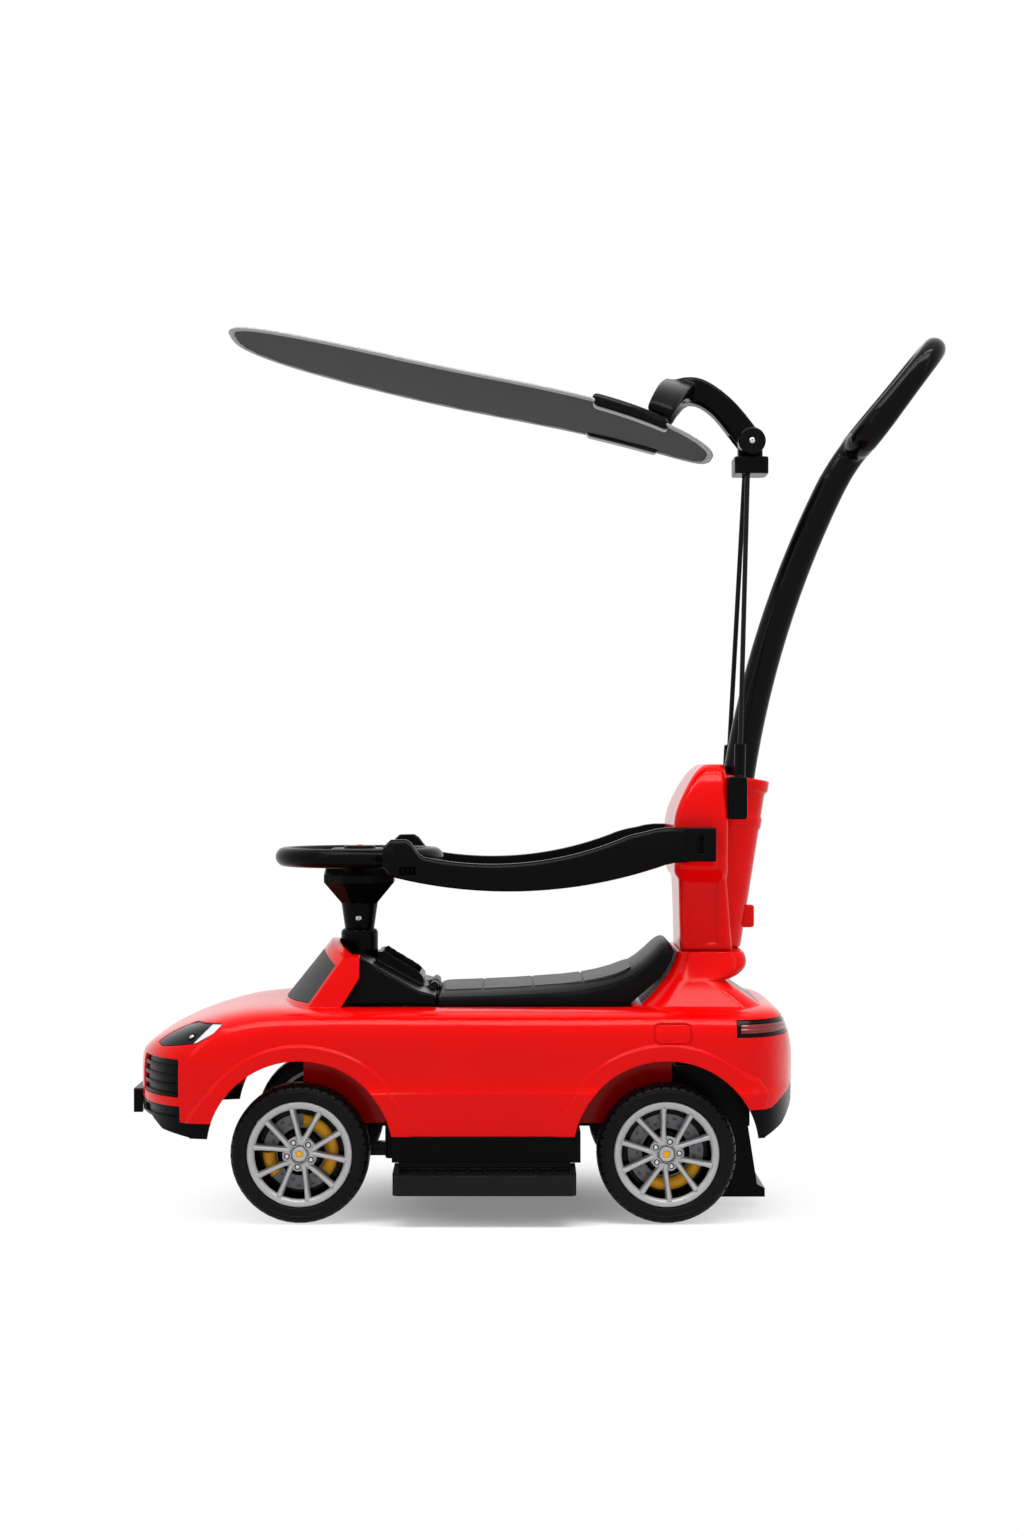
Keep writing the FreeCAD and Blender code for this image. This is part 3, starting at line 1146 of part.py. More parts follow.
def canopy_blank(rise, drop, grow):
    """Oval panel that follows the canopy's curve, between two heights about its upper face."""
    upper = canopy_line(-rise)
    lower = canopy_line(drop)
    ends = [line(upper.Vertexes[i].Point, lower.Vertexes[i].Point) for i in (0, -1)]
    slab = Part.Face(Part.Wire([upper, ends[1], lower, ends[0]]))
    slab = slab.extrude(V(0, 4 * CANOPY_HALF, 0)).translated(V(0, -2 * CANOPY_HALF, 0))
    mid = (CANOPY_FRONT_X + CANOPY_REAR_X) / 2
    reach = (CANOPY_REAR_X - CANOPY_FRONT_X) / 2 - 0.5 + grow
    half = CANOPY_HALF + grow
    points = []
    for step in range(CANOPY_STEPS):
        a = 2 * math.pi * step / CANOPY_STEPS
        x = math.copysign(abs(math.cos(a)) ** (2 / CANOPY_POWER), math.cos(a))
        y = math.copysign(abs(math.sin(a)) ** (2 / CANOPY_POWER), math.sin(a))
        points.append(V(mid + reach * x, half * y, 0))
    oval = Part.BSplineCurve()
    oval.interpolate(points, PeriodicFlag=True)
    return slab.common(Part.Face(Part.Wire([oval.toShape()])).extrude(V(0, 0, 1200)))


def canopy_rim():
    band = (CANOPY_RIM_T - CANOPY_T) / 2
    return canopy_blank(band, CANOPY_T + band, 0).cut(canopy_blank(band + 1, CANOPY_T + band + 1, -CANOPY_RIM))


def canopy_fabric():
    return canopy_blank(0, CANOPY_T, -CANOPY_RIM)


def canopy_clip():
    """Spring clip on the +Y edge of the canopy that ends one leg of the fork."""
    band = (CANOPY_RIM_T - CANOPY_T) / 2
    over = canopy_blank(band + CLIP_T, CANOPY_T + band + CLIP_T - 2, CLIP_T)
    span = box(CLIP_FRONT_X, CLIP_REAR_X, canopy_half(CLIP_REAR_X) - CLIP_DEPTH, 2 * CANOPY_HALF, 0, 1200)
    core = canopy_blank(band + FIT / 3, CANOPY_T + band + FIT / 3, FIT / 3)
    mouth = canopy_blank(band, CANOPY_T + band + CLIP_T, -CANOPY_RIM - 4)
    clip = over.common(span).cut(core).cut(mouth)
    return clip.cut(both_sides(canopy_leg()))


def steering_wheel():
    """Padded rim, three spokes and the boss that holds the horn button."""
    centre = V(COLUMN_X, 0, RIM_MID_Z)
    wheel = Part.makeTorus(STEER_RIM_R, STEER_GRIP_R, centre, V(0, 0, 1))
    boss = taper(BOSS_R + 4, BOSS_R - 4, V(COLUMN_X, 0, HUB_TOP_Z), V(COLUMN_X, 0, BOSS_TOP_Z))
    boss = boss.makeFillet(3, [e for e in boss.Edges if e.BoundBox.ZMin > BOSS_TOP_Z - 1])
    wheel = wheel.fuse(boss)
    for angle in (0, 90, 270):
        spoke = box(COLUMN_X + BOSS_R / 2, COLUMN_X + STEER_RIM_R, -SPOKE_HALF, SPOKE_HALF,
                    RIM_MID_Z - 6, RIM_MID_Z + 4)
        spoke = spoke.makeFillet(3, [e for e in spoke.Edges if e.BoundBox.XLength > 9])
        spoke.rotate(V(COLUMN_X, 0, 0), V(0, 0, 1), angle)
        wheel = wheel.fuse(spoke)
    pocket_floor = BOSS_TOP_Z - HORN_POCKET
    wheel = wheel.cut(rod(HORN_R + FIT, V(COLUMN_X, 0, pocket_floor), V(COLUMN_X, 0, BOSS_TOP_Z + 1)))
    return wheel.removeSplitter()


def horn_button():
    low = BOSS_TOP_Z - HORN_POCKET + HORN_SPRING
    cap = rod(HORN_R, V(COLUMN_X, 0, low), V(COLUMN_X, 0, BOSS_TOP_Z + HORN_TRAVEL))
    return cap.makeFillet(2.5, [e for e in cap.Edges if e.BoundBox.ZMin > BOSS_TOP_Z + HORN_TRAVEL - 1])


def coil(radius, turns, base, direction, length):
    """Wire wound into a compression spring, as a loft of six-sided sections along the helix."""
    steps = round(turns * COIL_STEPS)
    wires = []
    for step in range(steps + 1):
        a = 2 * math.pi * step / COIL_STEPS
        out = V(math.cos(a), math.sin(a), 0)
        centre = out * radius + V(0, 0, SPRING_WIRE + (length - 2 * SPRING_WIRE) * step / steps)
        corners = []
        for side in range(6):
            t = math.pi * (2 * side + 1) / 6
            corners.append(centre + out * (SPRING_WIRE * math.cos(t)) + V(0, 0, SPRING_WIRE * math.sin(t)))
        wires.append(Part.makePolygon(corners + corners[:1]))
    spring = Part.makeLoft(wires, True, True)
    spring.Placement = FreeCAD.Placement(base, FreeCAD.Rotation(V(0, 0, 1), direction))
    return spring


def horn_spring():
    floor = BOSS_TOP_Z - HORN_POCKET
    return coil(HORN_R / 2, HORN_TURNS, V(COLUMN_X, 0, floor), V(0, 0, 1), HORN_SPRING)


def release_spring():
    length = BUTTON_FLANGE_X - BUTTON_SPRING_X
    return coil(BUTTON_HALF_Y / 2, BUTTON_TURNS, V(BUTTON_SPRING_X, 0, BUTTON_Z), V(1, 0, 0), length)


def hub_ring(radius, z):
    """Eight-sided outline round the column at height z."""
    corners = []
    for side in range(HUB_SIDES):
        a = 2 * math.pi * (side + 0.5) / HUB_SIDES
        corners.append(V(COLUMN_X + radius * math.cos(a), radius * math.sin(a), z))
    return Part.makePolygon(corners + corners[:1])


def steering_hub():
    """Column between the fixed sleeve and the wheel: round neck, eight-sided flare that meets the boss."""
    low = SLEEVE_TOP_Z + FIT
    hub = taper(HUB_NECK_R, HUB_SHOULDER_R, V(COLUMN_X, 0, low), V(COLUMN_X, 0, HUB_SHOULDER_Z + 2))
    rings = [hub_ring(HUB_SHOULDER_R, HUB_SHOULDER_Z), hub_ring(HUB_CONE_R, HUB_FLARE_Z),
             hub_ring(HUB_CONE_R, HUB_TOP_Z)]
    hub = hub.fuse(Part.makeLoft(rings, True, True))
    return hub.cut(rod(SHAFT_R + RUN / 2, V(COLUMN_X, 0, low - 1), V(COLUMN_X, 0, HUB_TOP_Z - 6)))


def link_eye(x, y, z0, z1):
    return rod(LINK_HALF, V(x, y, z0), V(x, y, z1))


def steering_shaft():
    """Steel shaft from the hub down to a crank under the floor, with the crank's pin."""
    crank_z = LINK_TOP_Z + FIT
    top = V(COLUMN_X, 0, HUB_TOP_Z - 6)
    shaft = rod(SHAFT_R, V(COLUMN_X, 0, crank_z), top)
    end_x = COLUMN_X + STEER_ARM
    crank = link_eye(COLUMN_X, 0, crank_z, crank_z + LINK_T).fuse(link_eye(end_x, 0, crank_z, crank_z + LINK_T))
    crank = crank.fuse(box(COLUMN_X, end_x, -LINK_HALF + 1, LINK_HALF - 1, crank_z, crank_z + LINK_T))
    pin = rod(LINK_PIN_R, V(end_x, 0, LINK_TOP_Z - LINK_T - 1), V(end_x, 0, crank_z + 1))
    return shaft.fuse(crank).fuse(pin)


def tie_rod():
    """Bar between the two knuckle arms, with a tongue back to the crank."""
    z0 = LINK_TOP_Z - LINK_T
    z1 = LINK_TOP_Z
    x = FRONT_AXLE_X + STEER_ARM
    back = COLUMN_X + STEER_ARM
    bar = box(x - LINK_HALF + 1, x + LINK_HALF - 1, -KINGPIN_Y, KINGPIN_Y, z0, z1)
    bar = bar.fuse(box(x, back, -LINK_HALF + 1, LINK_HALF - 1, z0, z1))
    for px, py in ((x, KINGPIN_Y), (x, -KINGPIN_Y), (back, 0)):
        bar = bar.fuse(link_eye(px, py, z0, z1))
    for px, py in ((x, KINGPIN_Y), (x, -KINGPIN_Y), (back, 0)):
        bar = bar.cut(rod(LINK_PIN_R + RUN, V(px, py, z0 - 1), V(px, py, z1 + 1)))
    return bar


def knuckle():
    """Carrier of one front wheel on the +Y side: boss on the kingpin, axle socket and steering arm."""
    low = FORK_GAP_FOOT_Z + FIT
    high = PAN_Z - PAN_T - FIT
    x = FRONT_AXLE_X
    arm_z = LINK_TOP_Z + FIT
    body = rod(KNUCKLE_R, V(x, KINGPIN_Y, low), V(x, KINGPIN_Y, high))
    body = body.fuse(rod(KNUCKLE_R - 1.5, V(x, KINGPIN_Y, AXLE_Z), V(x, WHEEL_IN_Y - 1, AXLE_Z)))
    end_x = x + STEER_ARM
    arm = link_eye(end_x, KINGPIN_Y, arm_z, arm_z + LINK_T)
    arm = arm.fuse(box(x, end_x, KINGPIN_Y - LINK_HALF + 1, KINGPIN_Y + LINK_HALF - 1, arm_z, arm_z + LINK_T))
    pin = rod(LINK_PIN_R, V(end_x, KINGPIN_Y, LINK_TOP_Z - LINK_T - 1), V(end_x, KINGPIN_Y, arm_z + 1))
    body = body.fuse(arm).fuse(pin)
    body = body.cut(rod(KINGPIN_R + RUN, V(x, KINGPIN_Y, 0), V(x, KINGPIN_Y, PAN_Z)))
    return body.cut(rod(AXLE_R + RUN / 2, V(x, KINGPIN_Y + KINGPIN_R + 1, AXLE_Z), V(x, WHEEL_IN_Y, AXLE_Z)))


def kingpins():
    x = FRONT_AXLE_X
    pin = rod(KINGPIN_R, V(x, KINGPIN_Y, FORK_GAP_FOOT_Z - FORK_T - 2), V(x, KINGPIN_Y, PAN_Z))
    head = rod(KINGPIN_R + 2, V(x, KINGPIN_Y, PAN_Z), V(x, KINGPIN_Y, PAN_Z + 2))
    return pair(pin.fuse(head))


def stub_axle():
    x = FRONT_AXLE_X
    return rod(AXLE_R, V(x, KINGPIN_Y + KINGPIN_R + 1, AXLE_Z), V(x, TYRE_FACE_Y - AXLE_END_GAP, AXLE_Z))


def rear_axle():
    end = TYRE_FACE_Y - AXLE_END_GAP
    return rod(AXLE_R, V(REAR_AXLE_X, -end, AXLE_Z), V(REAR_AXLE_X, end, AXLE_Z))


def turned(points):
    """Ring turned about the Y axis from an outline of radius and place along the axle."""
    corners = [V(radius, y, 0) for radius, y in points]
    return Part.Face(Part.makePolygon(corners + corners[:1])).revolve(V(0, 0, 0), V(0, 1, 0), 360)


def tyre():
    """Tyre with a crowned tread and a ring of shoulder blocks; outer face at +Y."""
    r = WHEEL_R
    w = TYRE_W
    c = TYRE_CROWN
    ring = turned([(RIM_R + FIT / 3, 3), (RIM_R + 6, 0.8), (r - c - 2, 0), (r - c / 2, 2), (r, 8), (r, w - 8),
                   (r - c / 2, w - 2), (r - c - 2, w), (RIM_R + 6, w - 0.8), (RIM_R + FIT / 3, w - 3)])
    for y in (0, w):
        notch = box(r - TREAD_DEPTH - c, r + 1, y - 6, y + 6, -TREAD_GAP / 2, TREAD_GAP / 2)
        notches = []
        for index in range(TREAD_BLOCKS):
            copy = notch.copy()
            copy.rotate(V(0, 0, 0), V(0, 1, 0), 360 * index / TREAD_BLOCKS)
            notches.append(copy)
        ring = ring.cut(Part.makeCompound(notches))
    return ring


def spoke(root_angle, tip_angle):
    """One tapered spoke from the hub out to the rim ring."""
    wires = []
    for radius, angle, width, y0, y1 in ((HUB_R - 4, root_angle, 7.0, TYRE_W - 16, TYRE_W - 6),
                                         (RIM_R - RIM_LIP + 2, tip_angle, 5.0, TYRE_W - 14, TYRE_W - 4)):
        a = math.radians(angle)
        out = V(math.cos(a), 0, math.sin(a))
        across = V(-math.sin(a), 0, math.cos(a)) * (width / 2)
        narrow = across * 0.6
        corners = [out * radius - across + V(0, y0, 0), out * radius + across + V(0, y0, 0),
                   out * radius + narrow + V(0, y1, 0), out * radius - narrow + V(0, y1, 0)]
        wires.append(Part.makePolygon(corners + corners[:1]))
    return Part.makeLoft(wires, True, True)


def rim():
    """Alloy-style rim: barrel, lip ring, five pairs of spokes and the hub on its axle."""
    w = TYRE_W
    barrel = turned([(RIM_R - RIM_BARREL, 4), (RIM_R, 4), (RIM_R, w - 3.5), (RIM_R - 2, w - 2.5),
                     (RIM_R - RIM_LIP, w - 6), (RIM_R - RIM_LIP, w - 9), (RIM_R - RIM_BARREL, w - 10)])
    hub = turned([(AXLE_R + RUN, 1), (HUB_R - 5, 1), (HUB_R - 5, 8), (HUB_FLANGE_R, 12), (HUB_FLANGE_R, DISC_Y),
                  (HUB_R, DISC_Y), (HUB_R, w - 9), (HUB_R - 3, w - 6), (AXLE_R + RUN, w - 6)])
    wheel = barrel.fuse(hub)
    step = 360 / SPOKE_PAIRS
    for index in range(SPOKE_PAIRS):
        middle = 90 + step * index
        for side in (-1, 1):
            wheel = wheel.fuse(spoke(middle + side * SPOKE_ROOT, middle + side * step / 4))
    for index in range(SPOKE_PAIRS):
        a = math.radians(90 + step * index)
        spot = V(math.cos(a) * (HUB_R - 5.5), w - 12, math.sin(a) * (HUB_R - 5.5))
        wheel = wheel.cut(rod(LUG_HOLE_R, spot, spot + V(0, 8, 0)))
    cap = rod(CAP_R, V(0, w - 6.5, 0), V(0, w - 3, 0))
    cap = cap.makeFillet(1.5, [e for e in cap.Edges if e.BoundBox.YMin > w - 3.5])
    wheel = wheel.fuse(cap)
    return wheel.cut(rod(AXLE_R + RUN, V(0, 0, 0), V(0, w - AXLE_END_GAP + RUN, 0)))


def caliper(start, sweep):
    """Arc-shaped block on the brake disc, angles from the top towards the rear of the car."""
    y0 = DISC_Y + DISC_T
    block = Part.makeCylinder(DISC_R, CALIPER_T, V(0, y0, 0), V(0, 1, 0), sweep)
    block = block.cut(rod(CALIPER_IN_R, V(0, y0 - 1, 0), V(0, y0 + CALIPER_T + 1, 0)))
    block.rotate(V(0, 0, 0), V(0, 1, 0), start)
    return block


def brake_insert(arcs):
    """Disc on the hub's flange with its moulded caliper blocks."""
    front = DISC_Y + DISC_T
    back = DISC_Y - DISC_T
    plate_r = RIM_R - RIM_BARREL - FIT
    plate_in = HUB_FLANGE_R + RUN
    disc = turned([(HUB_R + RUN, DISC_Y), (DISC_R, DISC_Y), (DISC_R, front), (HUB_R + RUN, front)])
    disc = disc.fuse(turned([(plate_in, back), (plate_r, back), (plate_r, DISC_Y), (plate_in, DISC_Y)]))
    for start, sweep in arcs:
        disc = disc.fuse(caliper(start, sweep))
    return disc


def on_axle(shape, x):
    """Place a wheel piece on the +Y side of one axle."""
    return shape.translated(V(x, WHEEL_IN_Y, AXLE_Z))


def screws():
    low = PAN_Z - PAN_T
    items = []
    for x, y in SCREW_SPOTS:
        head = rod(2 * SCREW_R, V(x, y, low - 2), V(x, y, low))
        items.append(head.fuse(rod(SCREW_R, V(x, y, low - 1), V(x, y, PAN_Z + SCREW_LENGTH - 1))))
    return Part.makeCompound(items)


def build():
    """Every sub-part under its own name."""
    parts = {
        "body_shell": body_shell(),
        "floor_pan": floor_pan(),
        "front_lip": front_lip(),
        "front_grille": front_grille(),
        "plate_pad": plate_pad(),
        "headlight_housings": headlight_housings(),
        "headlight_lenses": headlight_lenses(),
        "windscreen": windscreen(),
        "tail_light_housing": tail_light_housing(),
        "tail_light_lens": tail_light_lens(),
        "rear_window": rear_window(),
        "rear_diffuser": rear_diffuser(),
        "anti_tip_stand": anti_tip_stand(),
        "dash_console": dash_console(),
        "column_sleeve": column_sleeve(),
        "seat_lid": seat_lid(),
        "seat_hinge_pin": seat_hinge_pin(),
        "backrest": backrest(),
        "release_button": release_button(),
        "release_spring": release_spring(),
        "push_handle": push_handle(),
        "rod_clamps": pair(rod_clamp()),
        "canopy_block": canopy_block(),
        "canopy_knob": canopy_knob(),
        "canopy_arm": canopy_arm(),
        "canopy_clips": pair(canopy_clip()),
        "canopy_rim": canopy_rim(),
        "canopy_fabric": canopy_fabric(),
        "steering_wheel": steering_wheel(),
        "horn_button": horn_button(),
        "horn_spring": horn_spring(),
        "steering_hub": steering_hub(),
        "steering_shaft": steering_shaft(),
        "tie_rod": tie_rod(),
        "kingpins": kingpins(),
        "rear_axle": rear_axle(),
        "screws": screws(),
    }
    handed = {
        "running_board": running_board(),
        "guard_arm": guard_arm(),
        "canopy_rod": canopy_rod(),
        "knuckle": knuckle(),
        "stub_axle": stub_axle(),
    }
    tread = tyre()
    alloy = rim()
    brakes = {"front": brake_insert(FRONT_CALIPERS), "rear": brake_insert(REAR_CALIPERS)}
    for end, x in (("front", FRONT_AXLE_X), ("rear", REAR_AXLE_X)):
        for name, shape in (("tyre", tread), ("rim", alloy), ("brake_insert", brakes[end])):
            handed[name + "_" + end] = on_axle(shape, x)
    for name, shape in handed.items():
        parts[name + "_right"] = shape
        parts[name + "_left"] = mirrored(shape)
    return parts


os.makedirs("parts", exist_ok=True)
for part_name, part_shape in build().items():
    part_shape.exportStep("parts/" + part_name + ".step")
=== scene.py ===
# %% [markdown]
# The push car is loaded as a fixed frame of named CAD parts. Nothing that is modelled here may make the
# car bigger.

# %% Load the frame
import json
import math
import bpy
import bmesh
from mathutils import Vector, Matrix


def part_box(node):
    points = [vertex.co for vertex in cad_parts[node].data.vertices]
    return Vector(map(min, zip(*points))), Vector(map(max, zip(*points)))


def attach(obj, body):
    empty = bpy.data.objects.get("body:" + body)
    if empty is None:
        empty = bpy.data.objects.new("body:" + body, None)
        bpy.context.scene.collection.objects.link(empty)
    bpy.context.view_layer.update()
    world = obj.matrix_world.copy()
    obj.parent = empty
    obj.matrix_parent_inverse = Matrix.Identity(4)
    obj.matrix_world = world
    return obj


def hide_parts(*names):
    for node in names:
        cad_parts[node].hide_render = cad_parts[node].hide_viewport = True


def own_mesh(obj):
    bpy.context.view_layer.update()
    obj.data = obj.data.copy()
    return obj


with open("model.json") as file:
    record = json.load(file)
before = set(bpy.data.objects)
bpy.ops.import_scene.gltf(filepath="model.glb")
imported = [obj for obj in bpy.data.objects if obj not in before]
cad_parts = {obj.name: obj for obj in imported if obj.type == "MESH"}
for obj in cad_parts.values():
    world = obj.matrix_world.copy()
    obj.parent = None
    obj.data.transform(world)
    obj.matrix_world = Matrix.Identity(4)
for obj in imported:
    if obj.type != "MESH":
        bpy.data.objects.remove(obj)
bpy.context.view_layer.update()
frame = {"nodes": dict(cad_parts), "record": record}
nodes = frame["nodes"]

# %% [markdown]
# The camera stands level, far to the left of the car, so that the side view has the same slight perspective
# as the picture. The sensor's width lies along the long side of the upright image.

# %% Camera
IMAGE_H = 1536
FOCAL_PX = 2600.0
SENSOR = 36.0
CAMERA_PLACE = (-0.031, -2.765, 0.457)
camera_data = bpy.data.cameras.new("side_camera")
camera_data.sensor_fit = "AUTO"
camera_data.sensor_width = SENSOR
camera_data.lens = FOCAL_PX / IMAGE_H * SENSOR
camera_data.clip_end = 50.0
camera = bpy.data.objects.new("side_camera", camera_data)
camera.location = CAMERA_PLACE
camera.rotation_euler = (math.radians(90), 0, 0)
bpy.context.scene.collection.objects.link(camera)
bpy.context.scene.camera = camera
print("lens", round(camera_data.lens, 2))

# %% [markdown]
# A pale floor runs into a white surround. Close to the car the floor is matt and keeps the soft shadow; further
# out it turns into plain white, so that no horizon shows. The white that is seen comes from the floor and the
# world, and not from more light on the car.

# %% Floor and world
FLOOR_GREY = 0.92
SHADOW_SPOT = (-0.03, -0.05, 0.0)
SHADOW_RINGS = (0.06, 0.38)
WHITE_SHARES = (0.22, 1.0)
FILL_STRENGTH = 0.50


def add_node(tree, kind, **inputs):
    """Add a shader node and set some of its inputs; an underscore stands for a space in an input's name."""
    node = tree.nodes.new("ShaderNode" + kind)
    for label, value in inputs.items():
        node.inputs[label.replace("_", " ")].default_value = value
    return node


def seen_directly(tree):
    """1 for rays that the camera, a mirror or a lens sends, 0 for light that only falls on something."""
    path = add_node(tree, "LightPath")
    seen = path.outputs["Is Camera Ray"]
    for ray in ("Is Glossy Ray", "Is Transmission Ray"):
        either = add_node(tree, "Math")
        either.operation = "MAXIMUM"
        tree.links.new(seen, either.inputs[0])
        tree.links.new(path.outputs[ray], either.inputs[1])
        seen = either.outputs[0]
    return seen


def mix_into(tree, share, first, second, out):
    """Mix two shaders by a share and send the result to the output node."""
    mix = add_node(tree, "MixShader")
    for socket, source in zip(mix.inputs, (share, first.outputs[0], second.outputs[0])):
        tree.links.new(source, socket)
    tree.links.new(mix.outputs[0], out.inputs["Surface"])


bpy.ops.object.select_all(action="DESELECT")
bpy.ops.mesh.primitive_plane_add(size=24, location=(0, 0, 0))
floor = bpy.context.object
floor.name = "studio_floor"
floor_mat = bpy.data.materials.new("studio_floor")
floor_mat.use_nodes = True
nt = floor_mat.node_tree
nt.nodes.clear()
matt = add_node(nt, "BsdfDiffuse", Color=(FLOOR_GREY, FLOOR_GREY, FLOOR_GREY, 1))
white = add_node(nt, "Emission", Color=(1, 1, 1, 1))
away = add_node(nt, "VectorMath")
away.operation = "DISTANCE"
away.inputs[1].default_value = SHADOW_SPOT
nt.links.new(add_node(nt, "TexCoord").outputs["Object"], away.inputs[0])
fade = add_node(nt, "MapRange", From_Min=SHADOW_RINGS[0], From_Max=SHADOW_RINGS[1],
                To_Min=WHITE_SHARES[0], To_Max=WHITE_SHARES[1])
fade.interpolation_type = "SMOOTHSTEP"
nt.links.new(away.outputs["Value"], fade.inputs["Value"])
share = add_node(nt, "Math")
share.operation = "MULTIPLY"
nt.links.new(fade.outputs["Result"], share.inputs[0])
nt.links.new(seen_directly(nt), share.inputs[1])
mix_into(nt, share.outputs[0], matt, white, add_node(nt, "OutputMaterial"))
floor.data.materials.append(floor_mat)

scene = bpy.context.scene
scene.view_settings.view_transform = "Standard"
world = bpy.data.worlds.new("studio")
scene.world = world
world.use_nodes = True
wt = world.node_tree
wt.nodes.clear()
w_fill = add_node(wt, "Background", Color=(1, 1, 1, 1), Strength=FILL_STRENGTH)
w_seen = add_node(wt, "Background", Color=(1, 1, 1, 1), Strength=1.0)
mix_into(wt, seen_directly(wt), w_fill, w_seen, add_node(wt, "OutputWorld"))
print("floor and world set")

# %% [markdown]
# Large soft lamps: the main one hangs over the car, so that upper edges carry long highlights while the upright
# sides keep their full colour. A narrow strip straight above the car draws a thin line along shoulders and arches,
# and two weaker lamps stand in front of and behind the car.

# %% Lamps
def lamp(name, size_x, size_y, power, place, aim):
    """A flat rectangular lamp that shines from its place towards its aim."""
    data = bpy.data.lights.new(name, "AREA")
    data.shape = "RECTANGLE"
    data.size = size_x
    data.size_y = size_y
    data.energy = power
    obj = bpy.data.objects.new(name, data)
    obj.location = place
    obj.rotation_euler = (Vector(aim) - Vector(place)).to_track_quat("-Z", "Y").to_euler()
    bpy.context.scene.collection.objects.link(obj)


lamp("top_softbox", 2.6, 0.55, 46, (0.0, -0.75, 2.3), (0, 0, 0.2))
lamp("edge_strip", 2.4, 0.08, 17, (-0.1, -0.16, 2.2), (-0.1, -0.16, 0))
lamp("front_softbox", 0.4, 1.6, 5, (-2.2, -1.6, 1.6), (-0.1, 0, 0.3))
lamp("rear_softbox", 0.4, 1.6, 4, (2.3, -1.5, 1.6), (0.1, 0, 0.3))
print("lamps set")

# %% [markdown]
# Every finish on the car is a procedural material on Object coordinates. Moulded plastic is never one flat
# colour: the colour drifts a little, the gloss is uneven, and a fine bump stands for the mould's own texture. No
# moulded edge is sharp either, so the Bevel node rounds the shading along every edge by about a millimetre.

# %% Finishes
CLOUD_SCALE = 14.0
LEAST_ROUGH = 0.02
RELIEF_DEPTH = 0.001


def finish(name, colour, rough, grain, bump, drift=0.06, metallic=0.0, spread=0.06, shine=0.5, edge=0.0012):
    """Moulded finish: slight colour drift, uneven gloss, a fine surface grain and rounded edges."""
    mat = bpy.data.materials.new(name)
    mat.use_nodes = True
    tree = mat.node_tree
    link = tree.links.new
    shader = tree.nodes["Principled BSDF"]
    shader.inputs["Metallic"].default_value = metallic
    shader.inputs["Specular IOR Level"].default_value = shine
    place = add_node(tree, "TexCoord").outputs["Object"]
    cloud = add_node(tree, "TexNoise", Scale=CLOUD_SCALE, Detail=3.0)
    link(place, cloud.inputs["Vector"])
    ramp = add_node(tree, "ValToRGB")
    for stop, position, factor in zip(ramp.color_ramp.elements, (0.3, 0.7), (1 - drift, 1 + drift)):
        stop.position = position
        stop.color = (*(min(1.0, c * factor) for c in colour), 1)
    link(cloud.outputs["Fac"], ramp.inputs["Fac"])
    link(ramp.outputs["Color"], shader.inputs["Base Color"])
    gloss = add_node(tree, "MapRange", To_Min=max(LEAST_ROUGH, rough - spread), To_Max=rough + spread)
    link(cloud.outputs["Fac"], gloss.inputs["Value"])
    link(gloss.outputs["Result"], shader.inputs["Roughness"])
    fine = add_node(tree, "TexNoise", Scale=grain, Detail=2.0)
    link(place, fine.inputs["Vector"])
    relief = add_node(tree, "Bump", Strength=bump, Distance=RELIEF_DEPTH)
    link(fine.outputs["Fac"], relief.inputs["Height"])
    link(relief.outputs["Normal"], shader.inputs["Normal"])
    if edge:
        rounded = add_node(tree, "Bevel", Radius=edge)
        rounded.samples = 4
        link(rounded.outputs["Normal"], relief.inputs["Normal"])
    return mat


RED = finish("red_gloss_shell", (0.66, 0.0010, 0.0010), 0.14, grain=260, bump=0.006, drift=0.02, spread=0.03,
             shine=0.10, edge=0.0022)
BLACK = finish("black_satin_moulding", (0.0016, 0.0016, 0.0018), 0.24, grain=1500, bump=0.03, drift=0.15,
               shine=0.05, edge=0.0016)
SOFT_BLACK = finish("black_grained_seat", (0.0020, 0.0020, 0.0020), 0.36, grain=2200, bump=0.10, drift=0.15,
                    shine=0.07)
GLOSS_BLACK = finish("black_gloss_trim_and_shade", (0.0016, 0.0016, 0.0018), 0.14, grain=700, bump=0.01, drift=0.1,
                     shine=0.08)
# The seat's fields are a much lighter grey than the shell: painted light for the light that falls on the seat's top.
# Their grain is real.
LIT_FIELD = finish("grained_seat_fields_painted_light", (0.022, 0.022, 0.022), 0.42, grain=1700, bump=0.16, drift=0.12,
               shine=0.3, edge=0.0006)
TYRE = finish("black_tyre_moulding", (0.0034, 0.0034, 0.0034), 0.36, grain=1200, bump=0.08, drift=0.2,
              shine=0.08)
SILVER = finish("silver_wheel_coat", (0.36, 0.36, 0.37), 0.34, grain=1800, bump=0.03, drift=0.03, metallic=0.2)
DISC = finish("grey_brake_disc", (0.15, 0.15, 0.16), 0.40, grain=900, bump=0.04, metallic=0.4)
YELLOW = finish("yellow_caliper", (0.70, 0.33, 0.006), 0.32, grain=800, bump=0.03, shine=0.2)
STEEL = finish("plated_steel", (0.56, 0.56, 0.57), 0.24, grain=1500, bump=0.02, metallic=1.0)
STEP_BLACK = finish("black_step_moulding", (0.0030, 0.0030, 0.0032), 0.30, grain=1500, bump=0.05, drift=0.15,
                    shine=0.14, edge=0.0010)
ROD_BLACK = finish("black_rod", (0.003, 0.003, 0.0033), 0.22, grain=1200, bump=0.02, shine=0.12)
DARK_PANEL = finish("dark_windscreen_panel", (0.026, 0.026, 0.027), 0.46, grain=1800, bump=0.06, shine=0.12)
GREY_PANEL = finish("grey_rear_panel", (0.26, 0.26, 0.265), 0.38, grain=1500, bump=0.04, shine=0.3)
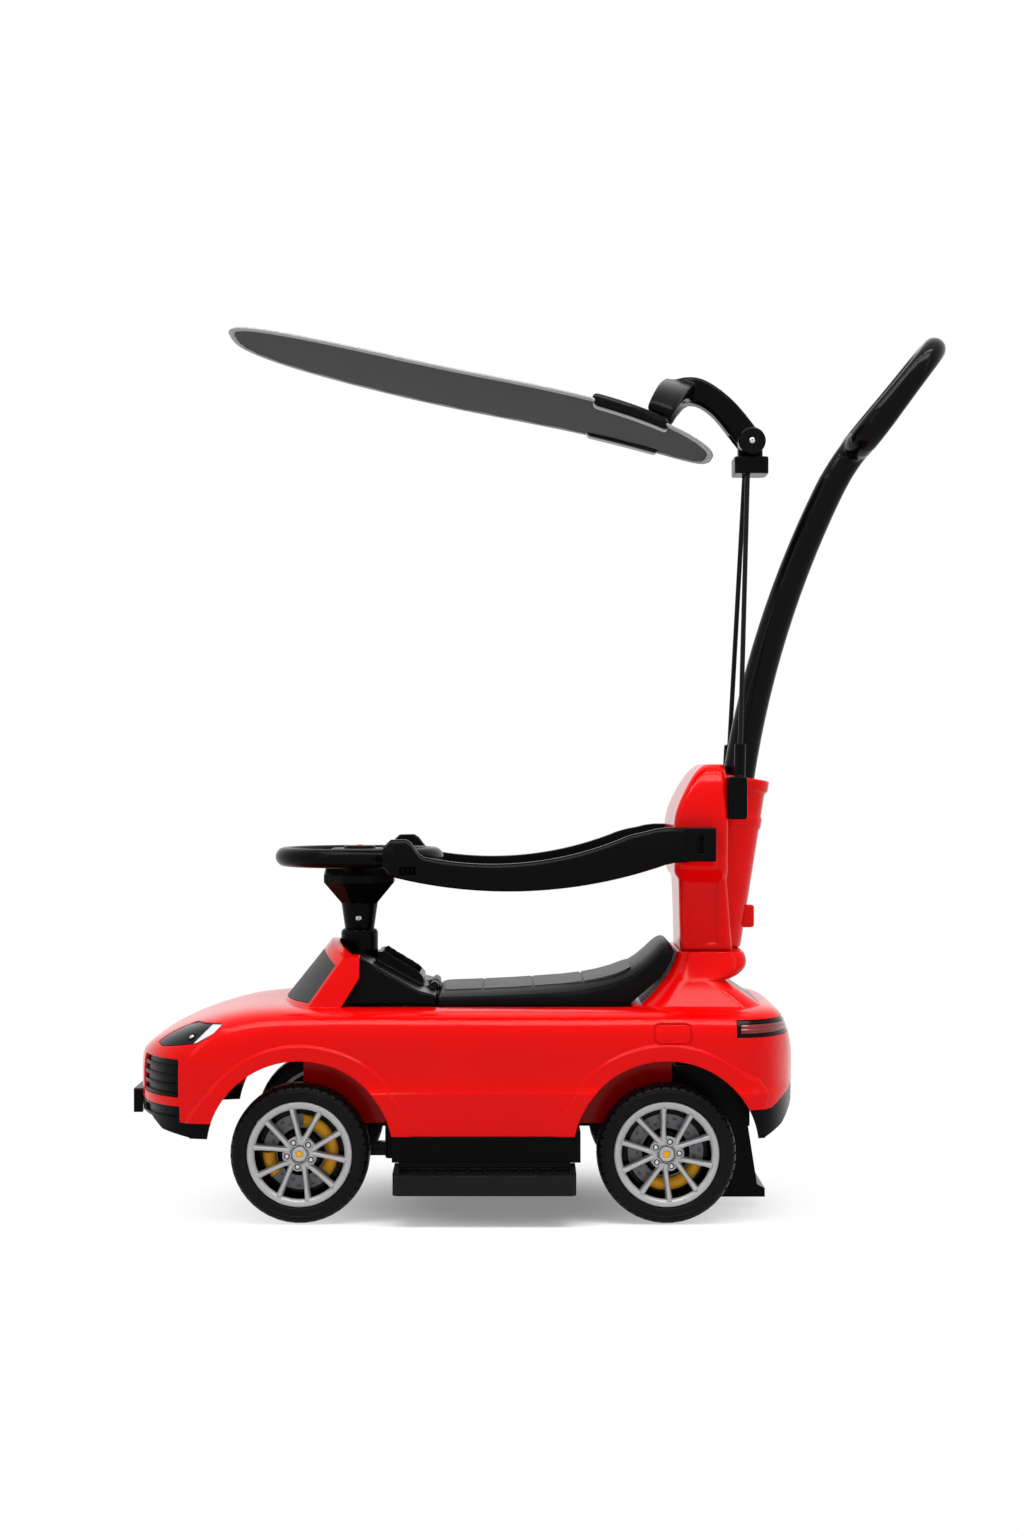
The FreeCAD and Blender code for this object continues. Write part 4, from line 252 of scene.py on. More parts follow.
BINDING = finish("grey_binding_tape", (0.32, 0.32, 0.32), 0.75, grain=1600, bump=0.35, shine=0.2, edge=0.0)
CLOTH = finish("grey_canopy_cloth", (0.050, 0.050, 0.053), 0.82, grain=1400, bump=0.30, shine=0.1, edge=0.0)
print("finishes made, from", RED.name, "to", CLOTH.name)

# %% [markdown]
# Two lamp glasses need more than a plain finish. The headlight is smoked glass with a bright strip along its rear
# edge, which is one slanted line across X and Z; the tail lamp has fine level ribs in deep red.

# %% Lamp glasses
STRIP_LINE = -0.531
STRIP_BLUR = 0.0006
RIB_PITCH = 0.004
WAVE_PERIOD = 0.314


def strip_glass(name, dark, bright, line):
    """Smoked glass that turns bright behind the slanted line X - Z = line."""
    mat = finish(name, dark, 0.07, grain=300, bump=0.01, shine=0.08, edge=0.0008)
    tree = mat.node_tree
    slant = add_node(tree, "VectorMath")
    slant.operation = "DOT_PRODUCT"
    slant.inputs[1].default_value = (1, 0, -1)
    tree.links.new(add_node(tree, "TexCoord").outputs["Object"], slant.inputs[0])
    side = add_node(tree, "MapRange", From_Min=line - STRIP_BLUR, From_Max=line + STRIP_BLUR)
    tree.links.new(slant.outputs["Value"], side.inputs["Value"])
    mix = add_node(tree, "Mix")
    mix.data_type = "RGBA"
    mix.inputs["A"].default_value = (*dark, 1)
    mix.inputs["B"].default_value = (*bright, 1)
    tree.links.new(side.outputs["Result"], mix.inputs["Factor"])
    tree.links.new(mix.outputs["Result"], tree.nodes["Principled BSDF"].inputs["Base Color"])
    return mat


def ribbed_glass(name, colour, pitch):
    """Coloured glass with level ribs, pitch metres apart; a Wave texture of scale 1 repeats every WAVE_PERIOD."""
    mat = finish(name, colour, 0.12, grain=400, bump=0.02, shine=0.4, edge=0.0008)
    tree = mat.node_tree
    relief = [n for n in tree.nodes if n.bl_idname == "ShaderNodeBump"][0]
    wave = add_node(tree, "TexWave", Scale=WAVE_PERIOD / pitch)
    wave.bands_direction = "Z"
    tree.links.new(add_node(tree, "TexCoord").outputs["Object"], wave.inputs["Vector"])
    ribs = add_node(tree, "Bump", Strength=0.5, Distance=RELIEF_DEPTH)
    tree.links.new(wave.outputs["Fac"], ribs.inputs["Height"])
    tree.links.new(relief.outputs["Normal"], ribs.inputs["Normal"])
    tree.links.new(ribs.outputs["Normal"], tree.nodes["Principled BSDF"].inputs["Normal"])
    return mat


CLEAR_LENS = strip_glass("smoked_headlight_glass", (0.010, 0.010, 0.011), (0.62, 0.62, 0.63), STRIP_LINE)
RED_LENS = ribbed_glass("red_tail_glass", (0.16, 0.006, 0.005), RIB_PITCH)
print("glasses", CLEAR_LENS.name, RED_LENS.name)

# %% [markdown]
# Each CAD part takes the finish of its material slot, apart from a few that are given a glossier or darker finish.

# %% Finishes on the CAD parts
LOOKS = {
    "red_plastic": RED, "black_plastic": BLACK, "steel": STEEL, "clear_lens": CLEAR_LENS, "red_lens": RED_LENS,
    "dark_panel": DARK_PANEL, "grey_panel": GREY_PANEL, "canopy_binding": BINDING, "canopy_cloth": CLOTH,
    "tyre_plastic": TYRE, "silver_plastic": SILVER, "yellow_plastic": YELLOW,
}
SLOTS = {entry["node"]: entry["material_slot"] for entry in frame["record"]["subparts"]}
SPECIAL = {node: mat for mat, group in (
    (GLOSS_BLACK, ("canopy_knob", "tail_light_housing", "headlight_housings")),
    # Rods, axles and pins under the car are given the same black as the canopy's rods.
    (ROD_BLACK, ("canopy_rod_left", "canopy_rod_right", "tie_rod", "stub_axle_left", "stub_axle_right",
                 "seat_hinge_pin", "kingpins", "steering_shaft")),
    (STEP_BLACK, ("running_board_left", "running_board_right")),
    (BLACK, ("horn_button",)),
) for node in group}
for name, obj in nodes.items():
    obj.data.materials.clear()
    obj.data.materials.append(SPECIAL.get(name, LOOKS[SLOTS[name]]))
print("slots", len(LOOKS), "special parts", len(SPECIAL))

# %% [markdown]
# Shaping by hand means one object, in edit mode, with just the right faces selected. These helpers do that: they
# make one object active, pick faces or edges by their place, apply a modifier, and give a piece its finish.

# %% Modelling helpers
def start(obj):
    """Make obj the only selected object, and the active one."""
    bpy.ops.object.select_all(action="DESELECT")
    obj.select_set(True)
    bpy.context.view_layer.objects.active = obj


def edit(obj, kind="FACE"):
    """Go into edit mode with nothing selected."""
    start(obj)
    bpy.ops.object.mode_set(mode="EDIT")
    bpy.ops.mesh.select_mode(type=kind)
    bpy.ops.mesh.select_all(action="DESELECT")


def leave():
    """Go back to object mode."""
    bpy.ops.object.mode_set(mode="OBJECT")


def pick_faces(obj, test):
    """Select the faces whose centre and normal pass the test, and count them."""
    bm = bmesh.from_edit_mesh(obj.data)
    count = 0
    for face in bm.faces:
        if test(face.calc_center_median(), face.normal):
            face.select_set(True)
            count += 1
    bmesh.update_edit_mesh(obj.data)
    return count


def pick_edges(obj, test):
    """Select the edges whose two ends pass the test."""
    bm = bmesh.from_edit_mesh(obj.data)
    for edge in bm.edges:
        if test(*(v.co for v in edge.verts)):
            edge.select_set(True)
    bmesh.update_edit_mesh(obj.data)


def modifier(obj, kind, **values):
    """Add one modifier and apply it."""
    start(obj)
    mod = obj.modifiers.new(kind.lower(), kind)
    for key, value in values.items():
        setattr(mod, key, value)
    bpy.ops.object.modifier_apply(modifier=mod.name)


def smooth(obj, degrees):
    """Shade smooth, with edges steeper than the angle kept crisp."""
    start(obj)
    bpy.ops.object.shade_smooth_by_angle(angle=math.radians(degrees))


def paint(obj, mat, test=None):
    """Give the whole piece, or the faces that pass the test, a finish."""
    if test is None:
        obj.data.materials.clear()
        obj.data.materials.append(mat)
        return
    obj.data.materials.append(mat)
    index = len(obj.data.materials) - 1
    for polygon in obj.data.polygons:
        if test(polygon.center, polygon.normal):
            polygon.material_index = index


print("helpers ready")

# %% [markdown]
# Most parts of a wheel are round. They could be cut from cylinders, but a lathe gives every step and rounding in
# one go: a profile is drawn point by point, in millimetres, and spun round the axle.

# %% Turned pieces
MM = 0.001
MERGE = 0.00002


def turned_piece(name, profile, steps, sweep=360.0, closed=True):
    """Draw a profile of (radius, depth towards -Y) point by point and spin it round the Y axis."""
    points = [(r * MM, -w * MM) for r, w in profile]
    bpy.ops.object.select_all(action="DESELECT")
    bpy.ops.mesh.primitive_plane_add(size=0.002, location=(points[0][0], points[0][1], 0))
    obj = bpy.context.object
    obj.name = name
    bpy.ops.object.transform_apply(location=True, rotation=False, scale=False)
    bpy.ops.object.mode_set(mode="EDIT")
    bpy.ops.mesh.select_mode(type="VERT")
    bpy.ops.mesh.select_all(action="SELECT")
    bpy.ops.mesh.merge(type="CENTER")
    here = points[0]
    for point in points[1:] + (points[:1] if closed else []):
        step = (point[0] - here[0], point[1] - here[1], 0)
        bpy.ops.mesh.extrude_vertices_move(TRANSFORM_OT_translate={"value": step})
        here = point
    bpy.ops.mesh.select_all(action="SELECT")
    bpy.ops.mesh.remove_doubles(threshold=MERGE)
    if sweep < 360:
        bpy.ops.mesh.edge_face_add()
    bpy.ops.mesh.spin(steps=steps, angle=math.radians(sweep), center=(0, 0, 0), axis=(0, -1, 0))
    bpy.ops.mesh.select_all(action="SELECT")
    bpy.ops.mesh.remove_doubles(threshold=MERGE)
    bpy.ops.mesh.normals_make_consistent(inside=False)
    leave()
    return obj


def column(centre, steps):
    """Number of the column of faces that a face of a turned piece lies in, counted from +X upwards."""
    angle = math.degrees(math.atan2(centre.z, centre.x)) % 360
    return int(angle / (360 / steps))


print("lathe ready")

# %% [markdown]
# A tyre is a ring with one cross-section, so its profile is drawn once and spun. The real one is moulded plastic
# with a ring of short blocks along each shoulder; the gaps between them, and the staggered cuts across the crown,
# are columns of faces that an inset sinks.

# %% Tyre
BLOCKS = 46
BLOCK_COLUMNS = 4
TYRE_STEPS = BLOCKS * BLOCK_COLUMNS
SHOULDER_R, SHOULDER_DEPTHS = 0.0655, (8, 34)
CROWN_R, CROWN_DEPTHS = 0.069, (10, 33)
TYRE_MIDDLE = 21
tyre = turned_piece("tyre_blank", [
    (53.2, 3.0), (56.0, 1.4), (60.0, 0.6), (64.2, 0.8), (66.8, 2.4), (68.6, 5.2), (69.6, 9.0), (70.0, 14.0),
    (70.0, 21.0), (70.0, 28.0), (69.6, 33.0), (68.6, 36.8), (66.8, 39.6), (64.6, 41.0), (63.4, 41.2),
    (62.9, 41.8), (62.0, 41.8), (61.5, 41.2), (58.0, 41.3), (55.6, 40.9), (54.4, 40.4), (53.2, 39.0)], TYRE_STEPS)


def sunk(centre, normal):
    """Faces of the gaps: along both shoulders, and staggered across the crown."""
    radius = math.hypot(centre.x, centre.z)
    depth = -centre.y / MM
    number = column(centre, TYRE_STEPS)
    shoulder = radius > SHOULDER_R and not SHOULDER_DEPTHS[0] <= depth <= SHOULDER_DEPTHS[1]
    crown = radius > CROWN_R and CROWN_DEPTHS[0] < depth < CROWN_DEPTHS[1]
    crown_column = 1 if depth > TYRE_MIDDLE else 3
    return (shoulder and number % BLOCK_COLUMNS == 0) or (
        crown and number % (2 * BLOCK_COLUMNS) == crown_column)


edit(tyre)
print("sunk faces", pick_faces(tyre, sunk))
bpy.ops.mesh.inset(thickness=0.0003, depth=-0.0015, use_even_offset=False)
leave()
paint(tyre, TYRE)
smooth(tyre, 40)

# %% [markdown]
# A spoke is thin, narrower in the middle than at its ends, and ridged towards the front. It could be extruded from
# the hub, but a cube that is cut across, pulled in at the waist and bevelled is easier to shape.

# %% Spokes
SPOKE_ROOT_R, SPOKE_TIP_R = 0.0098, 0.0468
SPOKE_Y = -0.0325
SPOKE_FACE_Y = -0.033
SPOKE_DEPTH, SPOKE_WIDTH = 0.010, 0.0074
FRONT_WIDTH, BACK_WIDTH = 0.62, 1.15
SPOKE_BULGE = 0.0024


def on_circle(angle, radius):
    """A point round the axle."""
    return Vector((math.cos(angle), 0, math.sin(angle))) * radius


def spoke(name, root_angle, tip_angle):
    """One spoke from the hub to the lip."""
    root = on_circle(root_angle, SPOKE_ROOT_R)
    tip = on_circle(tip_angle, SPOKE_TIP_R)
    length = (tip - root).length
    bpy.ops.object.select_all(action="DESELECT")
    bpy.ops.mesh.primitive_cube_add(size=1, location=(length / 2, SPOKE_Y, 0),
                                    scale=(length, SPOKE_DEPTH, SPOKE_WIDTH))
    obj = bpy.context.object
    obj.name = name
    bpy.ops.object.transform_apply(location=True, rotation=False, scale=True)
    edit(obj, "EDGE")
    pick_edges(obj, lambda a, b: abs(a.x - b.x) > length / 2)
    bpy.ops.mesh.subdivide(number_cuts=3)
    leave()
    for v in obj.data.vertices:
        t = v.co.x / length
        front = v.co.y < SPOKE_Y
        # Full width at the hub, narrowest near the middle, wider again at the lip.
        waist = 1.08 - 0.42 * math.sin(math.pi * min(1.0, t * 0.82 + 0.08)) ** 0.8
        v.co.z *= waist * (FRONT_WIDTH if front else BACK_WIDTH)
        v.co.y -= SPOKE_BULGE * t * t if front else 0.0
    edit(obj, "EDGE")
    pick_edges(obj, lambda a, b: a.y < SPOKE_FACE_Y and b.y < SPOKE_FACE_Y and abs(a.x - b.x) > 0.004)
    bpy.ops.mesh.bevel(offset=0.0011, segments=3, affect="EDGES")
    leave()
    heading = (tip - root).normalized()
    angle = math.atan2(heading.z, heading.x)
    obj.data.transform(Matrix.Translation(root) @ Matrix.Rotation(-angle, 4, "Y"))
    return obj


PAIRS = 5
PAIR_STEP = 2 * math.pi / PAIRS
ROOT_SPREAD, TIP_SPREAD = 0.56, PAIR_STEP * 0.25
pair = [spoke("spoke", side * ROOT_SPREAD, side * TIP_SPREAD) for side in (-1, 1)]
print("spoke faces", len(pair[0].data.polygons))

# %% [markdown]
# The rim has a bright lip, a barrel whose inside is painted gloss black as painted shade, and a hub with a raised
# cap. These are turned. The pair of spokes is copied round the hub, so that each pair straddles a wheel nut.

# %% Rim
BARREL_Y, BARREL_R = 0.0335, 0.0495


def turned_by(degrees):
    """The turn of a piece round the axle; positive is from the rear of the car (+X) up to +Z."""
    return Matrix.Rotation(-math.radians(degrees), 4, "Y")


def copy_piece(obj, name, matrix):
    """A copy with its own mesh, moved in the mesh; a mirrored copy has its faces turned back outwards."""
    twin = bpy.data.objects.new(name, obj.data.copy())
    bpy.context.scene.collection.objects.link(twin)
    twin.data.transform(matrix)
    if matrix.determinant() < 0:
        twin.data.flip_normals()
    return twin


lip = turned_piece("rim_lip", [
    (52.9, 37.6), (52.6, 39.6), (51.6, 40.6), (50.2, 40.7), (48.4, 40.1), (46.6, 38.8), (45.4, 37.2), (45.0, 35.4),
    (45.6, 33.6), (48.4, 31.6), (49.0, 29.0), (49.0, 6.0), (52.9, 6.0), (52.9, 22.0)], 96)
hub = turned_piece("rim_hub", [
    (3.3, 2.0), (12.0, 2.0), (12.0, 8.0), (17.0, 12.0), (17.0, 30.0), (17.6, 31.6), (17.6, 33.0), (16.6, 34.0),
    (15.0, 34.4), (10.6, 34.6), (8.2, 35.4), (7.2, 38.0), (6.6, 38.9), (5.6, 39.1), (4.4, 38.8), (3.6, 38.1),
    (3.3, 37.6)], 60)
pieces = [lip, hub]
for index in range(PAIRS):
    pieces += [copy_piece(obj, "spoke", turned_by(index * 360 / PAIRS)) for obj in pair]
for obj in pair:
    bpy.data.objects.remove(obj)
for piece in pieces:
    paint(piece, SILVER)
# The inside of the barrel is painted gloss black: painted shade.
paint(lip, GLOSS_BLACK, lambda c, n: -c.y < BARREL_Y and math.hypot(c.x, c.z) < BARREL_R)
print("rim pieces", len(pieces))

# %% [markdown]
# Five small nuts sit in round wells between the roots of the spokes, and a plain dot closes the cap. A nut is a
# six-sided cylinder with bevelled edges. Round its foot lies a black disc, painted shade in the well. Well, nut and
# shade disc are made once and copied to each place.

# %% Wheel nuts and cap
NUT_CIRCLE = 0.0128


def join(objs, name):
    """Make one object of several; it keeps the finishes of all."""
    bpy.ops.object.select_all(action="DESELECT")
    for obj in objs:
        obj.select_set(True)
    bpy.context.view_layer.objects.active = objs[0]
    bpy.ops.object.join()
    objs[0].name = name
    return objs[0]


def pin(name, vertices, radius, depth, y):
    """A short cylinder along the axle."""
    bpy.ops.object.select_all(action="DESELECT")
    bpy.ops.mesh.primitive_cylinder_add(vertices=vertices, radius=radius, depth=depth, location=(0, y, 0),
                                        rotation=(math.pi / 2, 0, 0))
    obj = bpy.context.object
    obj.name = name
    bpy.ops.object.transform_apply(location=True, rotation=True, scale=False)
    return obj


well = turned_piece("nut_well", [
    (4.5, 35.6), (4.4, 37.6), (3.9, 38.3), (3.3, 38.1), (3.0, 37.2), (3.0, 35.6)], 24)
nut = pin("nut", 6, 0.0023, 0.003, -0.0366)
modifier(nut, "BEVEL", width=0.0004, segments=2)
# A black disc round the nut's foot: painted shade in the well.
well_shade = pin("nut_well_shade", 20, 0.0031, 0.0016, -0.0360)
edit(well_shade)
pick_faces(well_shade, lambda c, n: n.y < -0.9)
bpy.ops.mesh.inset(thickness=0.0003, depth=-0.0003)
leave()
for part, mat in ((well, SILVER), (nut, STEEL), (well_shade, GLOSS_BLACK)):
    paint(part, mat)
wheel_nut = join([well, nut, well_shade], "wheel_nut")
for index in range(PAIRS):
    a = index * PAIR_STEP
    place = Matrix.Translation((math.cos(a) * NUT_CIRCLE, 0, math.sin(a) * NUT_CIRCLE))
    pieces.append(copy_piece(wheel_nut, "wheel_nut", place))
bpy.data.objects.remove(wheel_nut)
dot = turned_piece("cap_dot", [
    (0.0, 36.0), (3.4, 36.0), (3.4, 37.9), (2.9, 38.4), (1.6, 38.8), (0.0, 38.9)], 32, closed=False)
paint(dot, YELLOW)
pieces.append(dot)
rim = join(pieces, "rim_blank")
smooth(rim, 40)
print("rim faces", len(rim.data.polygons))

# %% [markdown]
# Behind the spokes sits a toy brake: a grey disc with vent holes and yellow caliper blocks. The disc is turned,
# its holes are inset faces, and a caliper is a small profile spun through part of a turn and bevelled.

# %% Brake disc and calipers
DISC_STEPS = 60
HOLE_ROWS = ((0.0335, 0.0355, 0), (0.0280, 0.0300, 2))
DISC_HUB_Y = 0.0185


def vent_hole(centre, normal):
    """Every fourth face of two rings on the disc's front; the inner ring's holes stand between the outer ones."""
    radius = math.hypot(centre.x, centre.z)
    number = column(centre, DISC_STEPS)
    return normal.y < -0.95 and any(
        low < radius < high and number % 4 == shift for low, high, shift in HOLE_ROWS)


def caliper(name, first, last):
    """Block over the disc from one angle to another, with a raised back along its middle."""
    obj = turned_piece(name, [(26.0, 17.5), (38.2, 17.5), (38.2, 22.0), (36.4, 23.4), (29.0, 23.4), (26.0, 21.4)],
                       max(6, round((last - first) / 6)), sweep=last - first)
    edit(obj)
    pick_faces(obj, lambda c, n: n.y < -0.9)
    bpy.ops.mesh.inset(thickness=0.0016, depth=0.0009)
    leave()
    modifier(obj, "BEVEL", width=0.0006, segments=2, limit_method="ANGLE", angle_limit=math.radians(35))
    low = min(math.degrees(math.atan2(v.co.z, v.co.x)) for v in obj.data.vertices)
    obj.data.transform(turned_by(first - low))
    paint(obj, YELLOW)
    return obj


disc = turned_piece("disc_blank", [
    (17.2, 15.6), (38.3, 15.6), (38.3, 18.0), (35.5, 18.0), (33.5, 18.0), (30.0, 18.0), (28.0, 18.0), (24.0, 18.0),
    (22.6, 19.4), (20.4, 21.0), (17.2, 21.0)], DISC_STEPS)
edit(disc)
print("vent holes", pick_faces(disc, vent_hole))
bpy.ops.mesh.inset(thickness=0.0002, depth=-0.0010, use_individual=True)
leave()
paint(disc, DISC)
paint(disc, GLOSS_BLACK, lambda c, n: -c.y > DISC_HUB_Y)
# The backing ring fills the barrel behind the disc and is painted gloss black: painted shade inside the barrel.
backing = turned_piece("brake_backing", [
    (23.2, 14.0), (48.4, 14.0), (48.4, 15.4), (44.0, 15.8), (23.2, 15.8)], DISC_STEPS)
paint(backing, GLOSS_BLACK)
disc = join([disc, backing], "disc_blank")
front_brake = join([copy_piece(disc, "front_disc", Matrix.Identity(4)), caliper("caliper_a", -38, 85),
                    caliper("caliper_b", 180, 222)], "front_brake_blank")
rear_brake = join([copy_piece(disc, "rear_disc", Matrix.Identity(4)), caliper("caliper_c", -124, -20)],
                  "rear_brake_blank")
for obj in (front_brake, rear_brake):
    smooth(obj, 35)

# %% [markdown]
# All four wheels are alike but for their brakes, so what repeats is modelled once. Each wheel gets its own copies,
# turned as the wheels stand in the picture, and mirrored for the far side.

# %% Four wheels
AXLE = {"front": -0.244, "rear": 0.124}
RIM_TURN = {"front": 46.0, "rear": 3.5}
WHEEL_Y, WHEEL_R = -0.123, 0.070
MIRROR = Matrix.Scale(-1, 4, (0, 1, 0))


def hand_over(obj, body, slot, *replaced):
    """Let a finished piece ride on its body, and hide the CAD parts that it stands for; the slot is not used."""
    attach(obj, body)
    if replaced:
        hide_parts(*replaced)


for end, x in AXLE.items():
    brake = front_brake if end == "front" else rear_brake
    for side in ("left", "right"):
        place = Matrix.Translation((x, WHEEL_Y, WHEEL_R))
        if side == "right":
            place = MIRROR @ place
        body = "wheel_%s_%s" % (end, side)
        spun = place @ turned_by(RIM_TURN[end])
        for blank, part, slot, matrix in ((tyre, "tyre", "tyre_plastic", place),
                                          (rim, "rim", "silver_plastic", spun),
                                          (brake, "brake_insert", "yellow_plastic", place)):
            node = "%s_%s_%s" % (part, end, side)
            hand_over(copy_piece(blank, node + "_detail", matrix), body, slot, node)
for blank in (tyre, rim, disc, front_brake, rear_brake):
    bpy.data.objects.remove(blank)
print("wheels placed at", AXLE)

# %% [markdown]
# Seat and guard arms change their section along their length. A bevelled box would keep one section, so a ring of
# points is extruded from slice to slice, and each new ring is set to the section there. Small straight mouldings
# start as a cube between two corners with rounded edges.

# %% Bodies from slices and blocks
def drawn_out(name, rings):
    """A closed body: the first ring is one face, and every extrusion of it is set onto the next ring."""
    count = len(rings[0])
    bpy.ops.object.select_all(action="DESELECT")
    bpy.ops.mesh.primitive_circle_add(vertices=count, radius=0.01, fill_type="NGON")
    obj = bpy.context.object
    obj.name = name
    bpy.ops.object.mode_set(mode="EDIT")
    bpy.ops.mesh.select_mode(type="FACE")
    bpy.ops.mesh.select_all(action="SELECT")
    for index, ring in enumerate(rings):
        if index:
            bpy.ops.mesh.extrude_region()
        bm = bmesh.from_edit_mesh(obj.data)
        cap = [face for face in bm.faces if face.select][0]
        if index == 0:
            moves = list(zip(cap.verts, ring))
        else:
            last = [Vector(point) for point in rings[index - 1]]
            moves = [(v, ring[min(range(count), key=lambda i: (last[i] - v.co).length_squared)])
                     for v in cap.verts]
        for v, point in moves:
            v.co = point
        bmesh.update_edit_mesh(obj.data)
    bpy.ops.mesh.select_all(action="SELECT")
    bpy.ops.mesh.normals_make_consistent(inside=False)
    leave()
    return obj


def slice_at(x, ring):
    """A ring of (y, z) in millimetres, placed at x."""
    return [(x * MM, y * MM, z * MM) for y, z in ring]


def block(name, low, high, bevel=0.0, segments=2):
    """A cube set to two corners in millimetres, with rounded edges."""
    size = [(b - a) * MM for a, b in zip(low, high)]
    middle = [(a + b) * MM / 2 for a, b in zip(low, high)]
    bpy.ops.object.select_all(action="DESELECT")
    bpy.ops.mesh.primitive_cube_add(size=1, location=middle, scale=size)
    obj = bpy.context.object
    obj.name = name
    bpy.ops.object.transform_apply(location=True, rotation=False, scale=True)
    if bevel:
        modifier(obj, "BEVEL", width=bevel * MM, segments=segments)
    return obj


print("slices and blocks ready")

# %% [markdown]
# The seat is one hollow moulding. Its top and its underside are two lines along the car, and it is drawn out slice
# by slice between them; each slice slopes down to the sides, which gives the wide shoulder that catches the light.

# %% Seat
SEAT_TOP = [
    (-107.6, 219.5), (-107.2, 222.6), (-106.0, 224.8), (-103.6, 226.0), (-85, 226.7), (-60, 227.6), (-30, 229),
    (0, 231), (24, 232.8), (43, 235), (60, 238.2), (76, 242.6), (92, 249), (103, 256.2), (112, 264), (118, 269.8),
    (122.5, 273.6), (126.5, 275.9), (130.5, 276.4), (133.6, 274.8), (135.8, 271.6), (136.8, 267.5)]
SEAT_LOW = [
    (-107.6, 208.6), (84.5, 208.6), (104, 224.5), (123, 240), (129, 249), (134, 258), (136.8, 266.5)]
MORE_SLICES = {-72.0, -45.0, -15.0, 12.0, 34.0, 52.0, 68.0, 98.0}
SEAT_HALF = 98.0
TAPER_FROM, TAPER = 20, 26.0 / 120.0
FULL_HEIGHT = 26.0
HINGE_PLACE = (-0.112, 0, 0.229)


def along(rows, x):
    """Height of a line of points at x."""
    for (x0, z0), (x1, z1) in zip(rows, rows[1:]):
        if x <= x1:
            return z0 + (z1 - z0) * (x - x0) / (x1 - x0)
    return rows[-1][1]


def seat_slice(x):
    """Section of the seat: parallel sides in front, narrower towards the backrest, softer where it is thin."""
    top = along(SEAT_TOP, x)
    low = along(SEAT_LOW, x)
    half = SEAT_HALF if x < TAPER_FROM else SEAT_HALF - (x - TAPER_FROM) * TAPER
    soft = min(1.0, (top - low) / FULL_HEIGHT)
    side = [(half, low), (half, (low + top) / 2 - 6 * soft), (half, top - 12 * soft),
            (half - 0.8 * soft, top - 9.6 * soft), (half - 2.6 * soft, top - 7.6 * soft),
            (half * 0.93, top - 5.8 * soft), (half * 0.83, top - 3.0 * soft), (half * 0.68, top - 0.3 * soft)]
    return slice_at(x, [(-y, z) for y, z in side] + side[::-1])


stations = sorted({x for x, _ in SEAT_TOP + SEAT_LOW[1:]} | MORE_SLICES)
seat = drawn_out("seat_shell", [seat_slice(x) for x in stations])
edit(seat)
print("underside", pick_faces(seat, lambda c, n: n.z < -0.95 and c.z < 0.210))
bpy.ops.mesh.inset(thickness=0.007, depth=-0.011)
leave()
barrel = turned_piece("seat_barrel", [
    (2.2, -28), (4.6, -28), (5.0, -27.4), (5.0, 27.4), (4.6, 28), (2.2, 28)], 28)
barrel.data.transform(Matrix.Translation(HINGE_PLACE))
web = block("seat_web", (-112, -27.5, 224.4), (-106, 27.5, 228), 0.8)
smooth(seat, 38)
smooth(barrel, 40)

# %% [markdown]
# The four fields of the seat are drawn along the car in the same way, each just over the top of the shell, so that
# the gaps between them are the moulded grooves. The first and the last one have round corners.

# %% Seat fields
FIELDS = ((-101.5, -62.0, 7.0, 1.0), (-60.0, -10.0, 1.0, 1.0), (-8.0, 42.0, 1.0, 1.0), (44.0, 93.0, 1.0, 14.0))
FIELD_STEPS = 22
FIELD_HALF = 64.0
FIELD_RISE, FIELD_END_RISE = 0.9, 0.3


def seat_field(first, last, round_first, round_last):
    """One field from first to last, with the corner radius at each end; its slices crowd together at the ends."""
    rings = []
    for index in range(FIELD_STEPS + 1):
        t = 0.5 - 0.5 * math.cos(math.pi * index / FIELD_STEPS)
        x = first + (last - first) * t
        half = FIELD_HALF
        for gap, radius in ((x - first, round_first), (last - x, round_last)):
            if gap < radius:
                half -= radius - math.sqrt(radius * radius - (radius - gap) ** 2)
        top = along(SEAT_TOP, x) + (FIELD_RISE if 0 < index < FIELD_STEPS else FIELD_END_RISE)
        rings.append(slice_at(x, [
            (-half, top - 2.4), (-half, top - 0.5), (-half + 0.7, top), (-half / 3, top), (half / 3, top),
            (half - 0.7, top), (half, top - 0.5), (half, top - 2.4)]))
    return drawn_out("seat_field", rings)


fields = [seat_field(*row) for row in FIELDS]
# The fields are painted a lighter grey than the shell: painted light on the seat's top.
for field in fields:
    smooth(field, 30)
    paint(field, LIT_FIELD)
for part in (seat, barrel, web):
    paint(part, SOFT_BLACK)
seat = join([seat, barrel, web] + fields, "seat_shell")
hand_over(seat, "seat", "black_plastic", "seat_lid")
print("seat faces", len(seat.data.polygons))

# %% [markdown]
# A guard arm bows outwards and sags, and its section changes along its length: a plain box would look like a plank.
# It is drawn out slice by slice along the car, each slice with a rounded outer edge and a step along its top.

# %% Guard arms
ARM_FRONT, FRONT_TOP = -163, 384
OUT_END, LOW_END = 145, 132
CREST_FIRST, CREST_LAST = -124, 92
ARM_DEPTH = 18


